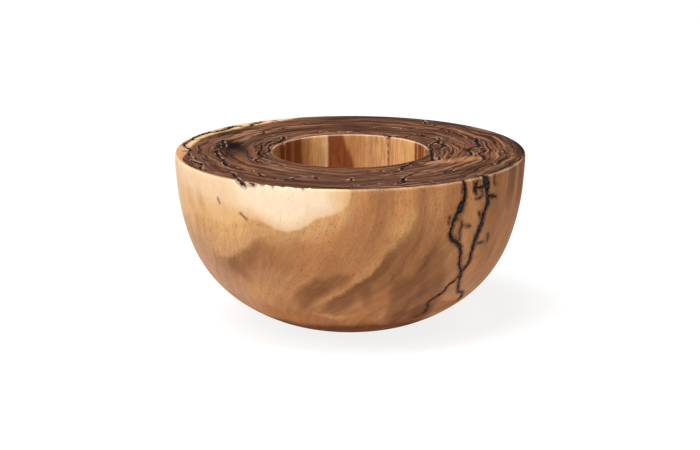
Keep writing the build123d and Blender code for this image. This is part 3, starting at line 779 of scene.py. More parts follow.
class Line:
    """Signed distance to a stroke given as points on the side (degrees, depth) or on the top (x, y)."""

    def __init__(self, pts, on_top=False):
        P = np.array([tuple(q) + (1.0,) * (3 - len(q)) for q in pts], float)
        self.level = P[:, 2]
        fine, lev = [], []
        for i in range(len(P) - 1):
            for u in np.linspace(0, 1, 12, endpoint=False):
                fine.append(P[i, :2] * (1 - u) + P[i + 1, :2] * u)
                lev.append(self.level[i] * (1 - u) + self.level[i + 1] * u)
        fine.append(P[-1, :2])
        lev.append(self.level[-1])
        self.q, self.lev = np.array(fine), np.array(lev)
        self.top = on_top

    def measure(self, x, y):
        """x, y already in millimetres; returns signed distance and the level of the nearest point."""
        q = self.q.copy()
        if not self.top:
            q[:, 0] = np.radians(q[:, 0]) * 140.0
        best = np.full(len(x), 1e9)
        idx = np.zeros(len(x), int)
        for k in range(len(q)):
            dd = (x - q[k, 0])**2 + (y - q[k, 1])**2
            m = dd < best
            best[m] = dd[m]
            idx[m] = k
        tang = np.gradient(q, axis=0)
        ox, oy = x - q[idx, 0], y - q[idx, 1]
        cross = tang[idx, 0] * oy - tang[idx, 1] * ox
        return np.sqrt(best) * np.sign(cross), self.lev[idx]


def brush(target, x, y, colour, strength, core, soft_pos, soft_neg, pts, on_top=False):
    d, lev = Line(pts, on_top).measure(x, y)
    s = np.where(d > 0, soft_pos, soft_neg)
    k = 1 - smooth(np.abs(d), core, core + s)
    k = (k * strength * lev)[:, None]
    target[:] = target * (1 - k) + lin(TONE[colour]) * k


# the palette: a few wood tones, and every stroke and plank below is one of them
TONE = {
    "cream": (240, 213, 182), "straw": (221, 179, 133), "honey": (216, 166, 108), "sand": (202, 150, 102),
    "fawn": (184, 134, 98), "amber": (194, 136, 86), "tan": (174, 118, 76), "ochre": (160, 104, 62),
    "umber": (140, 90, 56), "bark": (122, 76, 46), "dusk": (100, 60, 38), "clay": (130, 84, 58), "rust": (138, 76, 42),
    "mocha": (118, 82, 62), "cocoa": (100, 68, 52), "walnut": (76, 48, 36), "soot": (46, 27, 20),
}

# ---- the side --------------------------------------------------------------------------------------------
warp_in = np.stack([all_co[:, 0], all_co[:, 1], all_co[:, 2] * 0.35], -1)
wx = 1.6 * noise_at(warp_in, 9.0, 41) + 0.8 * noise_at(warp_in, 3.6, 42)
wy = 2.2 * noise_at(warp_in, 12.0, 43) + 0.8 * noise_at(warp_in, 4.0, 44)
SX = np.radians(phi) * 140.0 + wx
SY = down + wy
side_paint = np.tile(lin(TONE["tan"]), (n_all, 1))
SIDE_BRUSHES = [
    # tone, strength, core, softness on either side, points (degrees right of front, depth[, level])
    ("sand", 0.9, 22, 18, 18, [(-80, 54), (-60, 54), (-44, 52)]),
    ("clay", 0.30, 5, 9, 9, [(-66, 66, 0.4), (-60, 76), (-54, 90), (-46, 104, 0.4)]),
    ("fawn", 0.8, 22, 22, 22, [(-80, 90), (-62, 92), (-52, 98)]),
    ("sand", 0.8, 6, 9, 9, [(-2, 22), (-8, 31), (-14, 40), (-24, 44), (-34, 40), (-46, 44)]),
    ("sand", 0.6, 3, 5, 8, [(0, 16), (-5, 26), (-12, 34), (-16, 41)]),
    ("amber", 0.35, 5, 8, 8, [(-30, 58), (-16, 54), (-4, 44), (4, 28)]),
    ("ochre", 0.28, 9, 14, 14, [(-22, 64, 0.5), (-12, 60), (-2, 54, 0.5)]),
    ("fawn", 0.6, 8, 14, 14, [(-46, 92, 0.6), (-36, 90), (-26, 88, 0.6)]),
    ("tan", 0.7, 7, 10, 6, [(3, 2), (4, 25), (2, 45, 0.3)]),
    ("amber", 0.75, 7, 4, 9, [(17, 0), (17, 20), (15, 34)]),
    ("honey", 0.6, 2.5, 5, 5, [(19, 24, 0.5), (17, 34), (14, 44, 0.4)]),
    ("tan", 0.6, 3, 5, 6, [(12, 0), (12, 22), (9, 40, 0.5)]),
    ("amber", 0.7, 5, 6, 6, [(29, 0), (28, 18), (27, 32, 0.5)]),
    ("umber", 0.75, 1.0, 30, 4, [(-54, 76, 0.2), (-48, 75, 0.8), (-43, 69), (-37, 60), (-31, 51, 0.8), (-26, 44, 0.4)]),
    ("bark", 0.75, 3.0, 14, 4, [(-50, 76, 0.3), (-46, 75), (-41, 70), (-35, 63, 0.7), (-29, 58, 0.1)]),
    ("umber", 0.6, 1.2, 5, 5, [(-43, 78), (-41, 84), (-39, 90, 0.4)]),
    ("umber", 0.4, 1.2, 5, 5, [(-55, 70), (-54, 78)]),
    ("fawn", 0.5, 2, 6, 6, [(-52, 56, 0.3), (-46, 62), (-38, 53), (-33, 46, 0.4)]),
    ("amber", 0.8, 4, 10, 10, [(-40, 103), (-30, 100), (-24, 104, 0.5)]),
    ("bark", 0.8, 4.0, 10, 9, [(-3, 82, 0.7), (-9, 88), (-14, 95), (-18, 103, 0.7)]),
    ("dusk", 0.45, 2.0, 6, 6, [(-10, 92, 0.6), (-15, 98), (-18, 104, 0.5)]),
    ("umber", 0.7, 6, 9, 10, [(-26, 113, 0.5), (-14, 109), (-4, 105)]),
    ("amber", 0.65, 1.5, 12, 3.0, [(17, 36, 0.3), (15, 46), (12, 57), (9, 69), (6, 78), (2, 86), (-3, 95), (-8, 104), (-12, 111, 0.6)]),
    ("bark", 0.8, 1.0, 2.2, 20, [(18, 36, 0.1), (16, 46, 0.5), (13, 57, 0.8), (10, 69), (7, 78), (3, 86), (-2, 95), (-7, 104), (-11, 111, 0.6)]),
    ("dusk", 0.5, 1.0, 2.5, 7, [(13, 60, 0.3), (10, 70), (7, 79), (2, 87), (-3, 96, 0.6), (-8, 105, 0.3)]),
    ("umber", 0.6, 4, 6, 6, [(21, 46, 0.3), (20, 60, 0.8), (18, 72), (15, 84), (11, 96, 0.5)]),
    ("dusk", 0.4, 0.6, 1.6, 3.0, [(24, 38, 0.2), (22, 50, 0.7), (19.5, 62), (16.5, 74), (12.5, 86, 0.8), (7, 97, 0.3)]),
    ("dusk", 0.4, 0.6, 1.4, 3.0, [(30, 44, 0.2), (28.5, 56, 0.8), (26, 68), (23, 80), (19, 91, 0.8), (14, 102, 0.3)]),
    ("amber", 0.45, 0.8, 2.0, 2.0, [(25.5, 44, 0.3), (23.5, 56), (21, 68), (18, 80), (14, 91, 0.3)]),
    ("dusk", 0.35, 0.6, 1.5, 2.5, [(-20, 92, 0.2), (-15, 88, 0.8), (-8, 82), (-2, 75, 0.4)]),
    ("ochre", 0.6, 2.5, 5, 5, [(24, 52, 0.4), (23, 64), (21, 76), (18, 90), (14, 104, 0.5)]),
    ("bark", 0.7, 2.5, 5, 6, [(29, 50, 0.3), (28, 63, 0.8), (26, 76), (23, 88), (19, 100, 0.5)]),
    ("bark", 0.7, 2.5, 4, 5, [(4, 86), (6, 96), (7, 108, 0.6)]),
    ("ochre", 0.75, 3.5, 5, 5, [(12, 86, 0.6), (12, 96), (11, 108), (10, 116, 0.5)]),
    ("bark", 0.75, 8, 6, 10, [(19, 92), (20, 104), (20, 118)]),
    ("bark", 0.8, 10, 9, 9, [(29, 72, 0.4), (31, 88), (32, 104), (34, 118)]),
    ("dusk", 0.5, 2.5, 6, 6, [(30, 84, 0.3), (27, 96), (24, 108), (22, 120, 0.5)]),
    ("dusk", 0.75, 7, 8, 8, [(24, 124), (34, 120), (38, 128)]),
    ("amber", 0.75, 7, 4, 4, [(43.5, 0), (43.5, 20), (42, 40), (43, 58)]),
    ("ochre", 0.8, 8, 5, 5, [(56, 0), (56, 30), (55, 60), (56, 90)]),
    ("bark", 0.75, 5, 4, 5, [(65, 0), (64, 18), (63, 30, 0.4)]),
    ("rust", 0.75, 8, 6, 8, [(76, 0), (76, 26), (76, 44, 0.4)]),
    ("tan", 0.6, 12, 10, 14, [(72, 52), (68, 80), (62, 104)]),
    ("ochre", 0.8, 5, 5, 7, [(-40, 124, 0.4), (-30, 125), (-15, 122), (0, 120), (9, 122, 0.6)]),
    # painted highlight: a thin paler line low on the front of the belly
    ("sand", 0.6, 1.0, 3, 3, [(-16, 118, 0.3), (-9, 120.5), (2, 119, 0.3)]),
    ("bark", 0.6, 3, 5, 5, [(56, 118), (46, 122), (40, 116, 0.4)]),
    # the unseen back: the same figure, placed one by one
    ("umber", 0.6, 10, 16, 8, [(98, 40, 0.3), (104, 62), (112, 84), (122, 108, 0.5)]),
    ("amber", 0.7, 8, 12, 10, [(90, 20), (92, 50), (100, 80), (108, 108, 0.5)]),
    ("bark", 0.6, 7, 14, 5, [(138, 10, 0.2), (142, 40), (150, 72), (162, 100, 0.5)]),
    ("amber", 0.7, 8, 10, 12, [(128, 0), (132, 34), (138, 70), (148, 104, 0.4)]),
    ("umber", 0.7, 6, 12, 6, [(172, 20, 0.3), (176, 52), (179, 84, 0.8)]),
    ("umber", 0.7, 6, 12, 6, [(-179, 84, 0.8), (-172, 104), (-164, 120, 0.4)]),
    ("sand", 0.7, 9, 10, 10, [(-158, 0), (-154, 40), (-148, 80), (-142, 110, 0.4)]),
    ("umber", 0.7, 5, 18, 4, [(-140, 30, 0.2), (-132, 52), (-126, 74), (-118, 96, 0.5)]),
    ("sand", 0.8, 14, 16, 16, [(-110, 50), (-96, 60), (-84, 70)]),
]
for br in SIDE_BRUSHES:
    brush(side_paint, SX, SY, *br)

# sapwood, pale on the left; its lower edge on the side and its inner edge on the top
SAP_SIDE = [(0.3, -6), (0.2, 6), (-0.4, 12), (-2.2, 17.5), (-6, 22.5), (-10.5, 25.5), (-13, 31), (-16, 35.5), (-20, 38.5),
            (-24, 37.5), (-27, 34), (-30, 31), (-34, 31.5), (-38, 36), (-42, 40), (-48, 40.5), (-55, 38), (-61, 40),
            (-70, 46), (-80, 50), (-92, 54), (-106, 50), (-120, 40), (-132, 28), (-141, 14), (-147, 2), (-150, -6)]
SAP_TOP = [(-40, 152), (-56, 134), (-73, 120), (-88, 106), (-105, 90), (-121, 71), (-133, 49), (-139, 20), (-141, -10),
           (-143.5, -27), (-143.5, -42), (-139.5, -58.5), (-129.5, -79), (-113.5, -99.5), (-98.5, -114.5), (-83, -127), (-70, -135.5),
           (-50, -144), (-25, -149.5), (0, -151.6), (6, -156)]


def inside_curve(x, y, line, sx=1.0):
    """Signed distance, positive on the sapwood side."""
    d, _ = Line(line, True).measure(x * sx, y)
    return d


_side_line = [(math.radians(a) * 140.0, d) for a, d in SAP_SIDE]
sap_side, _ = Line(_side_line, True).measure(np.radians(phi) * 140.0, down)
# walking towards the left, the sapwood lies above, which is the positive side of the walk
sap_top, _ = Line(SAP_TOP, True).measure(all_co[:, 0], all_co[:, 1])
sap_top = np.where(np.hypot(all_co[:, 0], all_co[:, 1]) < 60, -60, sap_top)
sap_d = np.where(all_t < T_RIM + 1.2, -sap_top, sap_side)
sap_d = np.where(is_wall | (all_t < T_COVE + 0.5), -60, sap_d)
sap_d = np.where(all_t > T_BELLY + 120, -60, sap_d)
sap_soft = np.where(is_side, 3.0 + 9.0 * smooth(-phi, 20, 50), 0.8)
sap_soft = np.where(is_side & (np.abs(phi) > 130), 5.0, sap_soft)
sap_soft = np.where(~is_side & (phi < -80), 0.8 + 5.0 * smooth(-phi, 84, 104), sap_soft)

pale = np.tile(lin(TONE["straw"]), (n_all, 1))
for br in [
    # the palest sapwood, partly a painted highlight where the key light falls on the upper left of the front
    ("cream", 0.95, 16, 20, 20, [(-30, 0), (-22, 12), (-14, 22)]),
    ("cream", 0.4, 5, 10, 10, [(-72, 6), (-58, 8), (-44, 12)]),
    ("honey", 0.45, 4, 12, 12, [(-80, 34), (-66, 38), (-52, 38), (-40, 34, 0.7)]),
    ("sand", 0.6, 2.5, 5, 5, [(-66, 18, 0.2), (-65, 27), (-62, 40)]),
    ("sand", 0.65, 2.0, 4.5, 4, [(-58, 14, 0.2), (-56.5, 24), (-54, 38)]),
    ("honey", 0.4, 3, 6, 6, [(-46, 22, 0.4), (-42, 32), (-34, 28, 0.6)]),
    # painted sheen: the sapwood made paler along the far left edge, standing in for the grazing reflection there
    ("cream", 0.9, 7, 26, 26, [(-90, 0), (-88, 16), (-87, 34, 0.8), (-86, 50, 0.2)]),
]:
    brush(pale, SX, SY, *br)
pale_top = np.tile(lin(TONE["straw"]), (n_all, 1))
brush(pale_top, all_co[:, 0], all_co[:, 1], "fawn", 0.85, 4, 6, 6, [(-149, 26, 0.4), (-150, 4), (-148, -18), (-145, -40, 0.5)], True)
brush(pale_top, all_co[:, 0], all_co[:, 1], "clay", 0.7, 3, 7, 6, [(-141, -12, 0.3), (-140, -34), (-136, -52, 0.6)], True)
brush(pale_top, all_co[:, 0], all_co[:, 1], "fawn", 0.7, 3, 5, 5, [(-134, -66, 0.6), (-120, -88), (-104, -106, 0.8)], True)
pale = np.where((all_t < T_RIM + 0.8)[:, None], pale_top, pale)

# the dark underside starts in a fairly sharp line: painted shade where the belly turns under, over the underside's own
# darker end grain
UNDER = [(-180, 131), (-90, 131), (-36, 132), (-22, 131.5), (-10, 130), (0, 128.8), (12, 127.6), (30, 130), (60, 133), (90, 131), (180, 131)]
ux, uy = np.array(UNDER).T
t_under = t_of_depth(np.interp(phi, ux, uy))
underside_shade = smooth(all_t + wy, t_under - 8.0, t_under + 13.0)
underside_shade = np.where(is_side, underside_shade, 0)
side_paint = side_paint * (1 - underside_shade[:, None]) + lin((104, 54, 28)) * underside_shade[:, None]

# ---- the top ---------------------------------------------------------------------------------------------
TX, TY = all_co[:, 0] + wx, all_co[:, 1] + wy
top_paint = np.tile(lin(TONE["cocoa"]), (n_all, 1))
TOP_BRUSHES = [
    ("mocha", 0.8, 5, 7, 7, [(-136, 60, 0.5), (-138, 30), (-137, 0), (-131, -30), (-120, -50, 0.4)]),
    ("mocha", 0.8, 5, 8, 8, [(-120, 84), (-100, 104), (-76, 118), (-50, 126, 0.4)]),
    ("soot", 0.85, 7, 9, 9, [(-104, 52, 0.7), (-108, 34), (-106, 16), (-101, -2, 0.6), (-92, -22, 0.3)]),
    ("walnut", 0.7, 6, 7, 7, [(-70, 68, 0.6), (-44, 84), (-24, 98), (0, 104), (26, 102, 0.5)]),
    ("clay", 0.7, 3, 6, 6, [(-116, -16, 0.5), (-104, -44), (-84, -64), (-60, -76, 0.6)]),
    ("mocha", 0.7, 5, 8, 8, [(-60, -66), (-34, -80), (0, -88), (30, -84, 0.5)]),
    ("walnut", 0.5, 5, 8, 8, [(-128, -60, 0.6), (-100, -88), (-60, -116), (-20, -130), (20, -134), (60, -122, 0.6)]),
    ("walnut", 0.5, 8, 8, 8, [(60, -100), (86, -90), (112, -66), (124, -44, 0.5)]),
    ("tan", 0.85, 4.5, 4, 4, [(80, -44), (96, -35), (108, -31)]),
    ("fawn", 0.6, 3, 4, 4, [(66, -52), (84, -43)]),
    ("walnut", 0.8, 1.2, 2.5, 2.5, [(58, -68, 0.5), (76, -63), (94, -58), (112, -50, 0.5)]),
    ("clay", 0.7, 5, 7, 7, [(84, 60, 0.4), (98, 30), (98, 0), (92, -22, 0.5)]),
    ("clay", 0.6, 4, 6, 6, [(124, 34, 0.5), (126, 6), (123, -20, 0.5)]),
    ("clay", 0.5, 4, 6, 6, [(60, 108, 0.5), (84, 96), (104, 74, 0.5)]),
    ("mocha", 0.3, 4, 6, 6, [(-20, 120, 0.5), (20, 124), (60, 116, 0.5)]),
    ("walnut", 0.95, 8, 8, 8, [(-56, 116, 0.4), (-24, 130), (10, 134), (44, 126), (70, 110, 0.4)]),
    ("walnut", 0.7, 3, 5, 5, [(-34, 86, 0.4), (-6, 92), (22, 90), (44, 82, 0.4)]),
    # the next two soot strokes: the dark outer ring along the right and the back, deepened as painted shade where the
    # rim falls away from the light
    ("soot", 0.7, 3, 6, 5, [(70, 136), (100, 115), (126, 85), (144, 50), (150.5, 14), (148, -20, 0.5)]),
    ("soot", 0.9, 2.0, 5, 4, [(-52, 144, 0.6), (-20, 151), (20, 151.5), (56, 142), (92, 122)]),
    ("soot", 0.7, 1.2, 3, 4, [(-92, -120, 0.4), (-60, -139, 0.7), (-28, -147.5), (16, -149), (60, -138.5, 0.8), (96, -116, 0.5)]),
]
for br in TOP_BRUSHES:
    brush(top_paint, TX, TY, *br, on_top=True)

# dark stains, painted shade along the right and back rim, and a plank where the rings hardly show
def mask(strength, core, soft, pts, x=None, y=None):
    d, lev = Line(pts, True).measure(TX if x is None else x, TY if y is None else y)
    return (1 - smooth(np.abs(d), core, core + soft)) * lev * strength


stain_and_rim_shade = np.zeros(n_all)
for args in [
    (1.0, 6.0, 8.0, [(-107, 38, 0.4), (-107, 28), (-105.5, 14), (-100, 0, 0.5)]),
    # painted shade along the right rim, over the dark outer ring
    (0.85, 0.9, 2.4, [(24, 151, 0.3), (60, 139.5), (92, 121.5), (118, 96.5), (138, 66), (149, 34), (151.8, 8), (150.5, -14, 0.4)]),
    (0.6, 0.7, 2.0, [(-60, -139.5, 0.6), (-28, -148.8), (16, -150.4), (60, -139.8, 0.8), (96, -117, 0.4)]),
    # painted shade along the back rim, over the dark outer ring
    (0.6, 0.8, 2.2, [(-60, 138, 0.3), (-30, 148.5), (0, 151.4), (24, 150, 0.6)]),
    (0.6, 1.5, 4.0, [(-80, 62, 0.4), (-66, 76), (-44, 88), (-20, 95, 0.4)]),
    (0.5, 1.5, 4.0, [(-30, 112, 0.4), (0, 116), (30, 113, 0.4)]),
    (0.5, 2.0, 4.0, [(-96, -78, 0.4), (-70, -104), (-40, -120), (-8, -127, 0.4)]),
    (0.55, 1.6, 4.0, [(76, -92, 0.4), (96, -78), (114, -56), (124, -36, 0.4)]),
    (0.5, 1.0, 3.0, [(88, 58, 0.4), (84, 40), (82, 20), (84, 0, 0.5)]),
]:
    stain_and_rim_shade = np.maximum(stain_and_rim_shade, mask(*args))
quiet = np.maximum(mask(0.95, 5.0, 3.0, [(80, -44), (96, -35), (108, -31)]), mask(0.7, 3, 4, [(66, -52), (84, -43)]))

# the wall of the well: planks of light and dark wood, by the angle round it (0 is the back wall, right positive)
wall_a = np.degrees(np.arctan2(all_co[:, 0], all_co[:, 1]))
# each plank: where it starts, its tone, how gradually it starts
PLANKS = [(-180, "ochre", 6), (-150, "bark", 8), (-118, "tan", 6), (-97, "honey", 5), (-72, "amber", 5), (-66, "rust", 6), (-59.5, "amber", 2),
          (-57, "rust", 2), (-50.5, "ochre", 1.5), (-47, "rust", 3), (-39, "amber", 5), (-31, "honey", 6), (-21, "straw", 4), (-17.5, "rust", 1.5), (-5, "amber", 2.5), (10, "sand", 3),
          (29.4, "bark", 0.8), (31.2, "sand", 1.2), (38, "honey", 4), (57, "rust", 2), (61, "amber", 1.5), (63.5, "rust", 1.5),
          (68, "ochre", 1.2), (70.5, "rust", 1.5), (74, "amber", 1.2), (78, "clay", 6),
          (98, "amber", 6), (150, "sand", 6)]
tilt = smooth(wall_a, -18, -3) * (1 - smooth(wall_a, 4, 12))
lean = (all_co[:, 2] - HT) * 0.26 * tilt
wn = wall_a + 1.2 * noise_at(np.stack([all_co[:, 0], all_co[:, 1], all_co[:, 2] * 0.08], -1), 4.0, 61) \
    + lean
wall_paint = np.tile(lin(TONE["sand"]), (n_all, 1))
for start, tone, soft in PLANKS:
    k = smooth(wn, start - soft / 2, start + soft / 2)[:, None]
    wall_paint = wall_paint * (1 - k) + lin(TONE[tone]) * 1.08 * k
floor_paint = np.tile(lin(TONE["clay"]), (n_all, 1))

# the two turned edges catch the light: a slightly paler line round the rim and round the mouth of the well
rim_line = np.clip(1 - np.abs(all_t - (T_RIM + 0.9)) / 1.3, 0, 1)
mouth_line = np.clip(1 - np.abs(all_t - (T_EDGE + 0.9)) / 0.9, 0, 1) * (0.25 + 0.75 * smooth(all_co[:, 1], -30, 20))

end = np.where(all_t > T_TOP + 0.5, 1 - smooth(all_t, T_RIM + 0.2, T_RIM + 1.6), smooth(all_t, T_TOP - 0.5, T_TOP + 0.3))
T_TURN = T_COVE + 0.62 * (T_WALL - T_COVE)       # where the well's corner turns from end grain to long grain
end = np.where(all_t < T_WALL, 1 - smooth(all_t, T_TURN - 1.5, T_TURN + 1.5), end)
end = np.maximum(end, np.where(is_side, underside_shade * smooth(down, 134, 142), 0))
paint = np.where(is_side[:, None], side_paint, top_paint)
on_wall = np.where(all_t >= T_COVE, 1 - smooth(all_t, T_TOP - 1.3, T_TOP + 0.1), 0)[:, None]
paint = paint * (1 - on_wall) + wall_paint * on_wall
turn = smooth(all_t, T_TURN - 2.0, T_TURN + 1.5)[:, None]
paint = np.where((all_t < T_WALL)[:, None], floor_paint * (1 - turn) + wall_paint * turn, paint)
far_rim = smooth(phi, 74, 84) + smooth(-phi, 158, 166)     # painted shade, not a pale highlight, along the back and the right, where the rim edge turns away from the light
line_k = (0.55 * np.maximum(rim_line * (1 - far_rim), mouth_line))[:, None]
paint = paint * (1 - line_k) + lin(TONE["cream"]) * line_k
# painted shade: the rounded rim edge along the back and the right is painted soot-dark, over the top's dark outer ring
far_rim_shade = (0.85 * np.clip(1 - np.abs(all_t - (T_RIM + 0.6)) / 2.6, 0, 1) * far_rim)[:, None]
paint = paint * (1 - far_rim_shade) + lin(TONE["soot"]) * far_rim_shade

# grain coordinates: across and along the fibre on the side, across and along the rings on end grain
bend_d = [0, 20, 38, 45, 55, 62, 72, 78, 85, 91, 98, 106, 112, 125, 153]
bend_v = [0, 0, 1.5, 3, 5, 7, 9, 11, 14, 17, 21, 26, 30, 36, 44]
lean_k = 0.35 + 0.65 * smooth(phi, -48, -18) * (1 - 0.75 * smooth(phi, 30, 52))
bent = all_a + np.radians(np.interp(down, bend_d, bend_v)) * lean_k
bent = bent + np.radians(0.8) * noise_at(np.stack([all_co[:, 0], all_co[:, 1], all_co[:, 2] * 0.5], -1), 26, 51)
fibre = np.stack([140 * np.sin(bent), -140 * np.cos(bent), all_t], -1)
fibre[is_wall] = np.stack([all_co[is_wall, 0], all_co[is_wall, 1], all_t[is_wall]], -1)
r_ring = np.hypot(all_co[:, 0] * (1.0 + 0.02 * np.sin(all_a)), all_co[:, 1]) + 3.4 * noise_at(all_co, 42, 52) + 2.0 * noise_at(all_co, 17, 53) + 0.7 * noise_at(all_co, 7, 54)
ring_r = np.clip(all_r, 12, 110)
ring = np.stack([r_ring, ring_r * np.cos(all_a), ring_r * np.sin(all_a)], -1)


def put(ob, name, kind, values):
    at = ob.data.attributes.new(name, kind, "POINT")
    key = {"FLOAT": "value", "FLOAT_VECTOR": "vector", "FLOAT_COLOR": "color"}[kind]
    v = np.asarray(values, np.float32)
    if kind == "FLOAT_COLOR":
        v = np.concatenate([v, np.ones((len(v), 1), np.float32)], 1)
    at.data.foreach_set(key, np.ascontiguousarray(v).ravel())


put(wood, "paint", "FLOAT_COLOR", paint)
put(wood, "pale", "FLOAT_COLOR", pale)
put(wood, "fibre", "FLOAT_VECTOR", fibre)
put(wood, "ring", "FLOAT_VECTOR", ring)
put(wood, "sap", "FLOAT", sap_d)
put(wood, "sap_soft", "FLOAT", sap_soft)
put(wood, "end_grain", "FLOAT", end)
put(wood, "stain_and_rim_shade", "FLOAT", np.where(is_top, stain_and_rim_shade, 0))
put(wood, "lively", "FLOAT", np.where(is_top, 1 - quiet, 1))
put(wood, "grain_k", "FLOAT", np.where(is_wall, 2.8, np.where(is_side, 1 - 0.45 * smooth(-phi, 5, 30) * (1 - smooth(-phi, 95, 120)), 1.0)))
put(wood, "matt", "FLOAT", np.where(is_side, np.maximum(smooth(down, 104, 126), 0.5 * smooth(phi, 50, 70) * (1 - smooth(phi, 120, 150))),
                                 np.where((all_t > T_TOP) & (all_t < T_RIM), 0.7, 0.2)))
hair_all = np.concatenate([hair, np.zeros(n_all - len(hair), bool)])
put(wood, "fill_dist", "FLOAT", np.where(hair_all, 6.0, all_d))
put(wood, "channel", "FLOAT", all_d + np.where(hair_all, np.where(is_side & (sap_d > 0), 1.15, 0.3), 0))


# =====================================================================================================
# materials
# =====================================================================================================
class Nodes:
    def __init__(self, name):
        self.mat = bpy.data.materials.new(name)
        self.t = simple_nodes(self.mat)
        self.out = self.t.nodes.new("ShaderNodeOutputMaterial")
        self.bsdf = self.t.nodes.new("ShaderNodeBsdfPrincipled")
        self.t.links.new(self.bsdf.outputs[0], self.out.inputs[0])

    def link(self, a, b):
        self.t.links.new(a, b)

    def attr(self, name, output):
        n = self.t.nodes.new("ShaderNodeAttribute")
        n.attribute_name = name
        return n.outputs[output]

    def math(self, op, a, b=None, c=None, clamp=False):
        n = self.t.nodes.new("ShaderNodeMath")
        n.operation, n.use_clamp = op, clamp
        for i, v in enumerate((a, b, c)):
            if v is None:
                continue
            if isinstance(v, (int, float)):
                n.inputs[i].default_value = v
            else:
                self.link(v, n.inputs[i])
        return n.outputs[0]

    def scaled(self, vec, sx, sy, sz):
        n = self.t.nodes.new("ShaderNodeVectorMath")
        n.operation = "MULTIPLY"
        self.link(vec, n.inputs[0])
        n.inputs[1].default_value = (sx, sy, sz)
        return n.outputs[0]

    def noise(self, vec, scale=1.0, detail=3.0, rough=0.55, distort=0.0):
        n = self.t.nodes.new("ShaderNodeTexNoise")
        n.inputs["Scale"].default_value = scale
        n.inputs["Detail"].default_value = detail
        n.inputs["Roughness"].default_value = rough
        n.inputs["Distortion"].default_value = distort
        self.link(vec, n.inputs["Vector"])
        return n.outputs[0]

    def span(self, v, a, b, c, d, kind="LINEAR"):
        n = self.t.nodes.new("ShaderNodeMapRange")
        n.interpolation_type = kind
        self.link(v, n.inputs[0])
        for i, x in enumerate((a, b, c, d)):
            if isinstance(x, (int, float)):
                n.inputs[i + 1].default_value = x
            else:
                self.link(x, n.inputs[i + 1])
        return n.outputs[0]

    def mix(self, f, a, b, kind="MIX"):
        n = self.t.nodes.new("ShaderNodeMix")
        n.data_type, n.blend_type = "RGBA", kind
        if isinstance(f, (int, float)):
            n.inputs[0].default_value = f
        else:
            self.link(f, n.inputs[0])
        for i, v in ((6, a), (7, b)):
            if isinstance(v, tuple):
                n.inputs[i].default_value = tuple(lin(v)) + (1,)
            else:
                self.link(v, n.inputs[i])
        return n.outputs[2]

    def ramp(self, f, stops):
        n = self.t.nodes.new("ShaderNodeValToRGB")
        el = n.color_ramp.elements
        while len(el) < len(stops):
            el.new(0.5)
        for e, (p, c) in zip(el, stops):
            e.position = p
            e.color = tuple(lin(c)) + (1,)
        self.link(f, n.inputs[0])
        return n.outputs[0]

    def grey(self, v):
        n = self.t.nodes.new("ShaderNodeCombineColor")
        for i in range(3):
            self.link(v, n.inputs[i])
        return n.outputs[0]


w = Nodes("suar_wood")
paint_c, pale_c = w.attr("paint", "Color"), w.attr("pale", "Color")
fib, rng = w.attr("fibre", "Vector"), w.attr("ring", "Vector")
sap_v, soft_v = w.attr("sap", "Fac"), w.attr("sap_soft", "Fac")
end_v, chan_v = w.attr("end_grain", "Fac"), w.attr("channel", "Fac")

# long grain
s_fine = w.noise(w.scaled(fib, 1 / 0.9, 1 / 0.9, 1 / 17), 1, 3, 0.55)
s_mid = w.noise(w.scaled(fib, 1 / 2.8, 1 / 2.8, 1 / 26), 1, 4, 0.6, 0.6)
s_broad = w.noise(w.scaled(fib, 1 / 12.0, 1 / 12.0, 1 / 90), 1, 2, 0.5, 0.5)
s_pore = w.noise(w.scaled(fib, 1 / 0.7, 1 / 0.7, 1 / 2.6), 1, 1, 0.5)
s_smoke = w.noise(w.scaled(fib, 1 / 9.0, 1 / 9.0, 1 / 22.0), 1, 4, 0.6, 0.9)
fleck = w.noise(w.scaled(fib, 1 / 6.0, 1 / 6.0, 1 / 9.0), 1, 3, 0.6)
# sapwood edge
edge_n = w.noise(w.scaled(fib, 1 / 4.0, 1 / 4.0, 1 / 9.0), 1, 4, 0.6)
edge_d = w.math("ADD", sap_v, w.math("MULTIPLY", w.math("SUBTRACT", edge_n, 0.5), 2.6))
sap_m = w.span(w.math("DIVIDE", edge_d, soft_v), -0.5, 0.5, 0, 1, "SMOOTHSTEP")
fringe = w.span(w.math("DIVIDE", edge_d, soft_v), -4.5, 0.0, 0, 1, "SMOOTHSTEP")
fringe = w.math("MULTIPLY", fringe, 0.4)
side_c = w.mix(fringe, paint_c, TONE["honey"])
# towards its edge the sapwood is warmer
warm = w.span(edge_d, 0.0, 11.0, 0.55, 0.0)
sap_c = w.mix(w.math("MULTIPLY", warm, w.span(end_v, 0, 0.5, 1, 0)), pale_c, TONE["honey"])
side_c = w.mix(sap_m, side_c, sap_c)
# strength of figure: weaker in the sapwood
fig = w.span(sap_m, 0, 1, 1.0, 0.28)


def shade(base, src, lo, hi, amount):
    f = w.span(src, 0.25, 0.75, lo, hi)
    k = w.math("MULTIPLY_ADD", w.math("SUBTRACT", f, 1.0), amount, 1.0)
    return w.mix(1.0, base, w.grey(k), "MULTIPLY")


